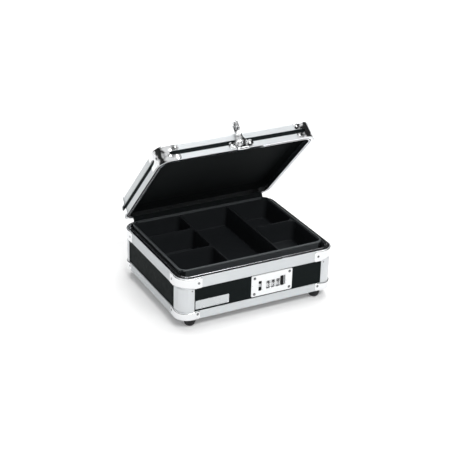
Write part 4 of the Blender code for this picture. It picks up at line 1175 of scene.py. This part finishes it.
def area_light(name, place, target, size, power):
    """A rectangular light at a place, aimed at a target."""
    data = bpy.data.lights.new(name, "AREA")
    data.shape = "RECTANGLE"
    data.size, data.size_y = size
    data.energy = power
    light = added(name, data)
    aim = (Vector(target) - Vector(place)).to_track_quat("-Z", "Y")
    light.matrix_world = Matrix.Translation(place) @ aim.to_matrix().to_4x4()


def stage():
    """A pale floor that glows a little more far away, a studio world and three soft lights."""
    half = 9.0
    corners = rectangle((-half, half), (-half, half))
    floor = loft([[(*corner, z) for corner in corners] for z in (-0.02, -0.0002)])
    mesh = mesh_of("floor", floor)
    paper = look("paper", (0.86, 0.86, 0.86), 0.0, 0.85, specular=0.1, mottle=0.004, wear=0.02)
    tree = paper.node_tree
    shader = tree.nodes["Principled BSDF"]
    shader.inputs["Emission Color"].default_value = (1, 1, 1, 1)
    distance = tree.nodes.new("ShaderNodeVectorMath")
    distance.operation = "LENGTH"
    tree.links.new(tree.nodes["Texture Coordinate"].outputs["Object"], distance.inputs[0])
    glow = map_range(tree, distance.outputs["Value"], (1.0, 5.0), (0.18, 0.85))
    tree.links.new(glow, shader.inputs["Emission Strength"])
    mesh.materials.append(paper)
    added("floor", mesh)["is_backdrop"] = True

    world = bpy.data.worlds.new("studio")
    bpy.context.scene.world = world
    world.use_nodes = True
    nodes, links = world.node_tree.nodes, world.node_tree.links
    coordinates = nodes.new("ShaderNodeTexCoord").outputs["Generated"]
    split = nodes.new("ShaderNodeSeparateXYZ")
    links.new(coordinates, split.inputs[0])
    ramp = nodes.new("ShaderNodeValToRGB")
    links.new(split.outputs["Z"], ramp.inputs["Fac"])
    stops = ((0.0, 1.0), (0.08, 0.9), (0.20, 0.03), (0.78, 0.02), (0.88, 0.8))
    elements = ramp.color_ramp.elements
    while len(elements) < len(stops):
        elements.new(0.5)
    for element, (place, grey) in zip(elements, stops):
        element.position = place
        element.color = (grey, grey, grey, 1)
    background = nodes["Background"]
    links.new(ramp.outputs["Color"], background.inputs["Color"])
    background.inputs["Strength"].default_value = 1.0

    area_light("overhead", (0.5, 0.7, 2.6), (0, 0, 0.05), (2.6, 2.0), 56)
    area_light("front_left", (-1.3, -2.1, 1.9), (0, 0, 0.1), (1.3, 0.9), 7)
    area_light("front_high", (0.0, -2.3, 2.7), (0, 0, 0.1), (1.8, 0.6), 62)


CAMERA_TARGET = Vector((-0.0046, MIDDLE_Y, 0.1013))
CAMERA_AZIMUTH, CAMERA_ELEVATION, CAMERA_ROLL = map(radians, (-27.92, 25.71, 1.44))
CAMERA_DISTANCE, CAMERA_LENS = 1.8623, 99.5


def camera():
    """The camera, placed round its target by azimuth, elevation, roll and distance."""
    a, e, roll = CAMERA_AZIMUTH, CAMERA_ELEVATION, CAMERA_ROLL
    back = Vector((sin(a) * cos(e), -cos(a) * cos(e), sin(e)))
    right = Vector((cos(a), sin(a), 0))
    up = back.cross(right)
    rolled_right = right * cos(roll) + up * sin(roll)
    rolled_up = up * cos(roll) - right * sin(roll)
    data = bpy.data.cameras.new("camera")
    data.lens = CAMERA_LENS
    data.sensor_width = 36.0
    obj = added("camera", data)
    turn = Matrix((rolled_right, rolled_up, back)).transposed().to_4x4()
    obj.matrix_world = Matrix.Translation(CAMERA_TARGET + back * CAMERA_DISTANCE) @ turn
    bpy.context.scene.camera = obj


base_frame()
base_corners()
lid_frame()
lid_corners()
base_lining()
tray()
back_flap()
lock_plate()
dials()
release()
hinges()
hasp_plate()
hasp_arm()
feet()
kept_nodes()
stage()
camera()
bpy.context.scene.view_settings.view_transform = "Standard"

shown = [list(corner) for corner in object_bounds()]
